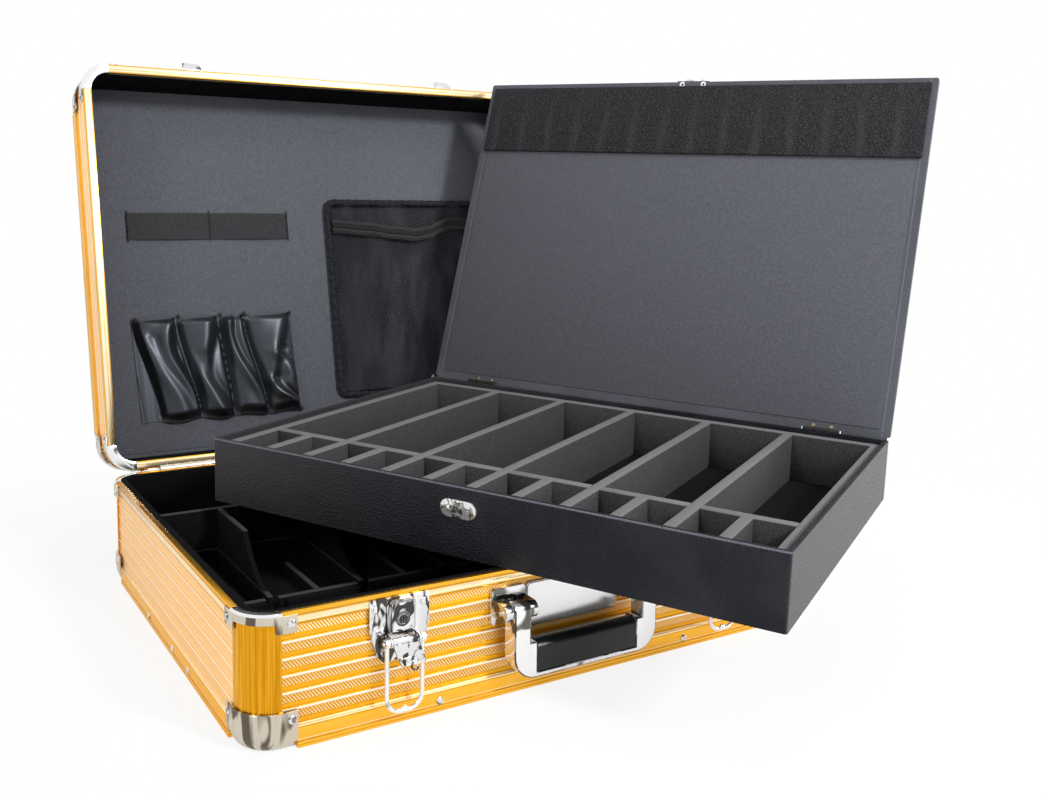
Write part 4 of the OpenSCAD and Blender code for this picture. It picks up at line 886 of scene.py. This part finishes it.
# In each pocket, creases as (height, place across) from top to foot, and how far each stands out.
creases = (
    ((((1.0, 0.92), (0.85, 0.72), (0.65, 0.60), (0.45, 0.72), (0.2, 0.90), (0.0, 0.96)), 1.5),
     (((0.8, 0.14), (0.5, 0.28), (0.25, 0.50), (0.0, 0.62)), 0.8)),
    ((((1.0, 0.76), (0.8, 0.62), (0.6, 0.40), (0.4, 0.32), (0.2, 0.58), (0.0, 0.90)), 1.0),
     (((0.6, 0.06), (0.4, 0.12), (0.2, 0.34), (0.0, 0.70)), 0.7)),
    ((((1.0, 0.36), (0.8, 0.24), (0.6, 0.32), (0.4, 0.56), (0.2, 0.82), (0.0, 0.98)), 1.0),
     (((1.0, 0.82), (0.7, 0.74), (0.5, 0.80), (0.3, 0.96)), 0.6)),
    ((((1.0, 0.86), (0.75, 0.60), (0.6, 0.44), (0.45, 0.30), (0.35, 0.26)), 0.9),
     (((0.62, 0.46), (0.5, 0.66), (0.35, 0.86)), 0.6),
     (((0.34, 0.10), (0.2, 0.36), (0.08, 0.80), (0.0, 0.96)), 1.1)))


def eased_step(value):
    """Smoothly from 0 to 1, as the value goes from 0 to 1."""
    value = min(1.0, max(0.0, value))
    return value * value * (3 - 2 * value)


def on_crease(points, up):
    """Where a crease is at this height, on a smooth curve through its points, and how much of it is left past
    its ends."""
    if up >= points[0][0]:
        return points[0][1], math.exp(-((up - points[0][0]) / 0.06) ** 2)
    for k, ((high, start), (low, end)) in enumerate(zip(points, points[1:])):
        if up >= low:
            before = points[max(0, k - 1)]
            after = points[min(len(points) - 1, k + 2)]
            step = high - low
            part = (high - up) / step
            go_in = (end - before[1]) / (before[0] - low) * step if before[0] > low else end - start
            go_out = (after[1] - start) / (high - after[0]) * step if high > after[0] else end - start
            place = ((2 * part ** 3 - 3 * part ** 2 + 1) * start + (part ** 3 - 2 * part ** 2 + part) * go_in
                     + (3 * part ** 2 - 2 * part ** 3) * end + (part ** 3 - part ** 2) * go_out)
            return place, 1.0
    return points[-1][1], math.exp(-((points[-1][0] - up) / 0.06) ** 2)


def vinyl_out(across, up):
    """How far the vinyl stands off the board, in mm; both go from 0 to 1.

    Deep folds run down and to the right between the pockets, and in each pocket the vinyl bulges in rounded
    creases with a dip beside them."""
    edges = [top + (foot - top) * eased_step(1 - up) for top, foot in zip(folds_top, folds_foot)]
    if across <= edges[0]:
        return 1.2 + 0.5 * math.sin(40 * across) ** 2
    pocket = max(k for k in range(len(creases)) if across >= edges[k])
    wide = edges[pocket + 1] - edges[pocket]
    part = (across - edges[pocket]) / wide
    side = min(1.0, part * wide / 0.045, (1 - part) * wide / 0.030)
    height = 0.26 * eased_step(side) + 0.58 * math.sin(math.pi * part) ** 0.8
    for points, strength in creases[pocket]:
        centre, left = on_crease(points, up)
        relief = 0.26 * ridge(part, centre, 0.19) - 0.24 * ridge(part, centre + 0.27, 0.15)
        height += strength * left * side * relief
    if pocket == len(creases) - 1:
        height *= 1 - 0.55 * eased_step((part - 0.78) / 0.22)
    foot = eased_step(up / 0.10)
    hem = eased_step((1 - up) / 0.07)
    return max(1.0, skin + bulge * height * (0.45 + 0.55 * foot) * (0.45 + 0.55 * hem))


row_middle, row_foot, row_wide, row_tall = -112, 37, 150, 95
row_lean, scallop, row_out = 4.0, 1.2, 13.5
pockets = grid("vinyl_pockets_sewn", 220, 90)
for point in pockets.data.vertices:
    u, v = point.co.x + 0.5, point.co.y + 0.5
    x = row_middle + (u - 0.5) * row_wide + row_lean * (0.5 - v)
    y = row_foot + row_tall * v + scallop * math.sin(7 * math.pi * u) * (1 - v)
    point.co = (x * mm, y * mm, min(row_out, vinyl_out(u, v)) * mm)
thickened(pockets, 0.8)
smooth(settle(pockets, on_board), 70)
fitted(pockets, "vinyl_pockets", vinyl)
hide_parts("vinyl_pockets")
print("pocket faces:", len(pockets.data.polygons))

# %% [markdown]
# Thread shows along the row's two ends, at its corners and along the foot of the board. A stitch is a tiny
# bevelled block. It is copied along its line by an Array modifier, so a whole seam is one piece.

# %% Stitches and knots
def stitches(name, start, end, count, node, width=0.5, material=None):
    """A sewn line on the board: one small stitch, copied along the line."""
    run = Vector(end) - Vector(start)
    length = run.length / count
    turn = run.to_track_quat("X", "Z").to_matrix().to_4x4()
    stitch = box(name, (-0.33 * length, -width / 2, -0.15), (0.33 * length, width / 2, 0.3), 0.12, 1)
    repeated(stitch, count, length)
    settle(stitch, on_board @ Matrix.Translation((Vector(start) + run / count / 2) * mm) @ turn)
    fitted(stitch, node, material or bunched_net)
    return stitch


knot_spots = ((-185.6, 131.2), (-146.5, 132.4), (-107.4, 132.4), (-84, 132.8), (-39.2, 131.6), (-33.6, 38.6))
stitches("pocket_side_stitches", (-40.4, 129, 3.4), (-37.0, 41, 3.2), 26, "vinyl_pockets", 0.6, webbing)
stitches("pocket_left_stitches", (-186.5, 80, 1.9), (-181.8, 40, 1.9), 13, "vinyl_pockets", 0.6, webbing)
knot = partial(bpy.ops.mesh.primitive_ico_sphere_add, subdivisions=2, radius=1.6 * mm)
knots = scattered("pocket_corner_knots", knot, [(x, y, 3.0) for x, y in knot_spots], (1.0, 1.5, 0.8),
                  on_board)
fitted(knots, "vinyl_pockets", zip_cloth)
stitches("board_seam", (-205, 11, 0.1), (205, 11, 0.1), 120, "lid_board", 0.4)
print("knots:", len(knot_spots))

# %% [markdown]
# ## The elastic strap
# A flat woven band, sewn down at its ends and once in the middle, with room for tools behind it. A grid is
# bent into two shallow loops and gets a wall, and the tacks are stitches across it.

# %% Strap
strap_left, strap_foot, strap_long, strap_wide = -187, 204.6, 154, 24.8
strap = grid("elastic_strap_woven", 80, 8)
for point in strap.data.vertices:
    u, v = point.co.x + 0.5, point.co.y + 0.5
    out = 0.8 + 1.7 * abs(math.sin(2 * math.pi * u)) ** 0.8 + 0.25 * math.sin(9 * u + 3 * v)
    point.co = ((strap_left + strap_long * u) * mm, (strap_foot + strap_wide * v) * mm, out * mm)
thickened(strap, 0.9)
smooth(settle(strap, on_board), 60)
fitted(strap, "elastic_strap", webbing)
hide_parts("elastic_strap")
for tack in (strap_left + 1, strap_left + 76.5, strap_left + strap_long - 1):
    stitches("strap_tack", (tack, strap_foot - 3, 2.2), (tack, strap_foot + strap_wide + 3.2, 2.2), 7,
             "elastic_strap", 1.0)
print("strap faces:", len(strap.data.polygons))

# %% [markdown]
# ## The mesh pocket
# The pocket is a net of knotted diamonds. A grid is poked, which puts a cross in each square, and the square
# edges are dissolved, so that only the slanting threads are left. The net is then pushed into folds and
# given threads by Wireframe.

# %% Net
net_x, net_y, net_wide, net_tall = 98, 144, 174, 188
edge_half, edge_foot, edge_tall = 86, 51, 186
zip_foot = 203


def net_out(x, y):
    """How far the net stands off the board at a place of the board, in mm. Along the zip it lies low."""
    u, v = (x - net_x) / edge_half, (y - edge_foot) / edge_tall
    edge = max(0.0, 1 - u * u) ** 0.5
    folds = 1.9 * math.sin(7.0 * u - 5.5 * v) + 1.2 * math.sin(12.0 * u - 7.0 * v + 1.0)
    below_zip = eased_step((zip_foot - y) / 30)
    return 3.4 + edge * (1.2 + below_zip * (0.8 + folds * (0.4 + 0.6 * min(1, v + 0.2))))


net = grid("mesh_net_knotted", 56, 61)
bpy.ops.object.mode_set(mode="EDIT")
bpy.ops.mesh.select_all(action="SELECT")
bpy.ops.mesh.poke()
bpy.ops.mesh.select_all(action="DESELECT")
bpy.ops.object.mode_set(mode="OBJECT")
for edge in net.data.edges:
    a, b = (net.data.vertices[i].co for i in edge.vertices)
    edge.select = min(abs(a.x - b.x), abs(a.y - b.y)) < 1e-5
bpy.ops.object.mode_set(mode="EDIT")
bpy.ops.mesh.select_mode(type="EDGE")
bpy.ops.mesh.dissolve_edges(use_verts=False)
bpy.ops.object.mode_set(mode="OBJECT")
for point in net.data.vertices:
    x, y = net_x + point.co.x * net_wide, net_y + point.co.y * net_tall
    point.co = (x * mm, y * mm, net_out(x, y) * mm)
with_modifier(net, "WIREFRAME", thickness=0.92 * mm, use_even_offset=False, use_boundary=True)
smooth(settle(net, on_board), 60)
fitted(net, "mesh_net", mesh_thread)
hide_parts("mesh_net")
print("net faces:", len(net.data.polygons))

# %% [markdown]
# The net is gathered at its edge into a soft roll with many small puckers. The roll is one closed band of
# faces that runs round the net with rounded corners. A formula raises its middle and ripples it, its ends are
# merged, and it gets a wall.

# %% Bunched edge round the net
(band_left, band_foot), (band_right, band_top), band_turn = (8.7, 47.7), (187.3, 240.3), 7.0


def round_the_net(way):
    """The middle of the band and the direction out of it, at this part of the way round (0 to 1)."""
    wide, tall = band_right - band_left - 2 * band_turn, band_top - band_foot - 2 * band_turn
    bend = math.pi / 2 * band_turn
    way = (way % 1.0) * 2 * (wide + tall + 2 * bend)
    left, right, low, high = (band_left + band_turn, band_right - band_turn, band_foot + band_turn,
                              band_top - band_turn)
    centres = ((right, low), (right, high), (left, high), (left, low))
    for quarter, (centre, straight) in enumerate(zip(centres, (wide, tall, wide, tall))):
        facing = math.radians(90 * quarter - 90)
        ahead = facing + math.pi / 2
        if way < straight:
            back = straight - way
            return (centre[0] + band_turn * math.cos(facing) - back * math.cos(ahead),
                    centre[1] + band_turn * math.sin(facing) - back * math.sin(ahead), facing)
        way -= straight
        if way < bend:
            facing += way / band_turn
            return centre[0] + band_turn * math.cos(facing), centre[1] + band_turn * math.sin(facing), facing
        way -= bend
    return left, band_foot, math.radians(-90)


binding = grid("mesh_binding_bunched", 420, 6)
for point in binding.data.vertices:
    way, off = point.co.x + 0.5, 2 * point.co.y
    x, y, facing = round_the_net(way)
    ripple = math.sin(2 * math.pi * 96 * way) + 0.7 * math.sin(2 * math.pi * 61 * way + 2 * off)
    reach = (3.5 + 0.25 * ripple) * off
    height = 2.8 + 2.3 * (1 - off * off) + 0.45 * ripple * (1.2 - off * off)
    point.co = ((x + reach * math.cos(facing)) * mm, (y + reach * math.sin(facing)) * mm, height * mm)
only(binding)
bpy.ops.object.mode_set(mode="EDIT")
bpy.ops.mesh.select_all(action="SELECT")
bpy.ops.mesh.remove_doubles(threshold=1e-5)
bpy.ops.mesh.normals_make_consistent(inside=False)
bpy.ops.object.mode_set(mode="OBJECT")
thickened(binding, 1.6)
smooth(settle(binding, on_board), 60)
fitted(binding, "mesh_binding", bunched_net)
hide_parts("mesh_binding")
print("band faces:", len(binding.data.polygons))

# %% [markdown]
# ## The zip
# Two cloth tapes run across the pocket's top, with a row of teeth between them. The zip is held at its ends
# only, so it sags and swings. Tapes and teeth are made straight and then moved onto the same curve. The
# slider with its pull is the exact solid with eased edges.

# %% Zip
zip_run = ((14, 216.0), (50, 213.2), (80, 209.4), (104, 207.2), (120, 209.6), (134, 215.2), (144, 219.0),
           (154, 218.6), (184, 215.5))
tape_spans = ((-6.6, -1.0), (1.0, 6.6))
tape_x, tape_long, tape_out = 98, 172, 7.0
teeth_from, teeth_step, teeth_count, teeth_out = 14, 1.84, 92, 6.2


def zip_at(x):
    """Height of the zip: it sags from the left, then swings up before its right end."""
    for (left, start), (right, end) in zip(zip_run, zip_run[1:]):
        if x <= right:
            return start + (end - start) * eased_step((x - left) / (right - left))
    return zip_run[-1][1]


zip_parts = []
for low, high in tape_spans:
    ribbon = grid("zip_tape", 110, 6)
    for point in ribbon.data.vertices:
        x = tape_x + point.co.x * tape_long
        y = zip_at(x) + low + (point.co.y + 0.5) * (high - low)
        curl = 0.6 * math.sin(x * 0.21) * abs(point.co.y) + 0.9 * math.cos(2 * math.pi * point.co.y)
        point.co = (x * mm, y * mm, (tape_out + curl) * mm)
    zip_parts.append(thickened(ribbon, 0.9))
teeth = repeated(box("zip_teeth", (-0.55, -1.35, 0), (0.55, 1.35, 1.5), 0.3, 1), teeth_count, teeth_step)
for point in teeth.data.vertices:
    x = teeth_from + point.co.x / mm
    point.co = (x * mm, point.co.y + zip_at(x) * mm, point.co.z + teeth_out * mm)
zip_parts.append(teeth)
zipper = smooth(settle(joined(zip_parts, "mesh_zip_sewn"), on_board), 40)
fitted(zipper, "mesh_zip", zip_cloth)
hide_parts("mesh_zip")
print("zip faces:", len(zipper.data.polygons))

# %% Zip slider with its pull
eased("zip_slider", 0.3, steel)
low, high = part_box("zip_slider")
print("slider at", [round(v, 4) for v in (low + high) / 2])

# %% [markdown]
# ## Light, floor and camera
# The photograph is a cut-out on white, lit softly from all round. A pale floor catches the shadow. It glows
# for the camera, more so further out, and for what metal mirrors, so that it runs into the white behind it.

# %% Floor
deselect_all()
bpy.ops.mesh.primitive_plane_add(size=8, location=(0, 0, -0.0002))
floor = named("floor")
material, tree, shader, where = finish("White floor", (0.93, 0.93, 0.93), 0.9)
white = put(tree, "ShaderNodeEmission", Color=(1, 1, 1, 1), Strength=1.0)
blend = tree.nodes.new("ShaderNodeMixShader")
path = tree.nodes.new("ShaderNodeLightPath")
far = tree.nodes.new("ShaderNodeVectorMath")
far.operation = "LENGTH"
tree.links.new(where, far.inputs[0])
whiter = maths(tree, "ADD", 0.86, maths(tree, "MULTIPLY", ramp(tree, far.outputs["Value"], 0.30, 0.75), 0.14))
mirrored = maths(tree, "MULTIPLY", path.outputs["Is Glossy Ray"], 0.55)
seen = maths(tree, "MULTIPLY", path.outputs["Is Camera Ray"], whiter)
tree.links.new(maths(tree, "MAXIMUM", seen, mirrored), blend.inputs[0])
tree.links.new(shader.outputs[0], blend.inputs[1])
tree.links.new(white.outputs[0], blend.inputs[2])
tree.links.new(blend.outputs[0], tree.nodes["Material Output"].inputs["Surface"])
painted(floor, material)

# %% [markdown]
# The world is white for the camera and for reflections. It lights the object less than half as brightly, so
# that the lamps give the forms. The key lamp stands behind the camera, to its right and high up. Weak fills
# from both sides and from above open the shadows.

# %% World
world = bpy.data.worlds.new("Studio")
bpy.context.scene.world = world
world.use_nodes = True
sky = world.node_tree
path = sky.nodes.new("ShaderNodeLightPath")
bent_or_mirrored = maths(sky, "MAXIMUM", path.outputs["Is Glossy Ray"], path.outputs["Is Transmission Ray"])
seen = maths(sky, "MAXIMUM", path.outputs["Is Camera Ray"], bent_or_mirrored)
strength = maths(sky, "ADD", maths(sky, "MULTIPLY", seen, 0.55), 0.45)
fill(sky, sky.nodes["Background"], Color=(1, 1, 1, 1), Strength=strength)


# %% Lamps
def lamp(name, place, aim, size, power):
    """A square lamp at a place in metres, turned towards its aim, with this power in watts."""
    data = bpy.data.lights.new(name, "AREA")
    data.shape = "SQUARE"
    data.size = size
    data.energy = power
    light = bpy.data.objects.new(name, data)
    bpy.context.collection.objects.link(light)
    light.location = place
    light.rotation_euler = (Vector(aim) - Vector(place)).to_track_quat("-Z", "Y").to_euler()
    return light


lamp("Key", (0.75, -2.00, 1.60), (0, 0, 0.2), 0.40, 46)
lamp("Left fill", (-2.3, -0.9, 1.9), (0, 0, 0.15), 0.5, 14)
lamp("Right fill", (2.4, -0.5, 0.9), (0.1, 0, 0.2), 0.9, 21)
lamp("Top", (0.2, 0.2, 2.6), (0, 0, 0.1), 1.6, 10)

# %% [markdown]
# The camera's lens, place and turn come from fitting the case's straight edges in the photograph. The
# photograph is cropped, so the middle of its picture isn't where the lens points, and the camera is shifted.

# %% Camera
photo_wide, photo_tall = 1046, 794
focal_pixels = 1066.42
aim_x, aim_y = 482.70, 331.57
camera_place = (-0.40448, -0.73279, 0.32190)
film = 36
azimuth, elevation, roll = (math.radians(v) for v in (30.75, 7.27, 0.90))
forward = Vector((math.sin(azimuth) * math.cos(elevation), math.cos(azimuth) * math.cos(elevation),
                  -math.sin(elevation)))
right = forward.cross(Vector((0, 0, 1))).normalized()
up = right.cross(forward)
right, up = right * math.cos(roll) + up * math.sin(roll), up * math.cos(roll) - right * math.sin(roll)
camera_data = bpy.data.cameras.new("Camera")
camera_data.sensor_width = film
camera_data.lens = film * focal_pixels / photo_wide
camera_data.shift_x = (photo_wide / 2 - aim_x) / photo_wide
camera_data.shift_y = (aim_y - photo_tall / 2) / photo_wide
camera = bpy.data.objects.new("Camera", camera_data)
bpy.context.collection.objects.link(camera)
looking = Matrix((right, up, -forward)).transposed().to_4x4()
camera.matrix_world = Matrix.Translation(camera_place) @ looking
bpy.context.scene.camera = camera
bpy.context.scene.view_settings.view_transform = "Standard"
print("lens:", round(camera_data.lens, 2), "mm")

# %% [markdown]
# Last, the json module is imported.

# %% The json module
import json
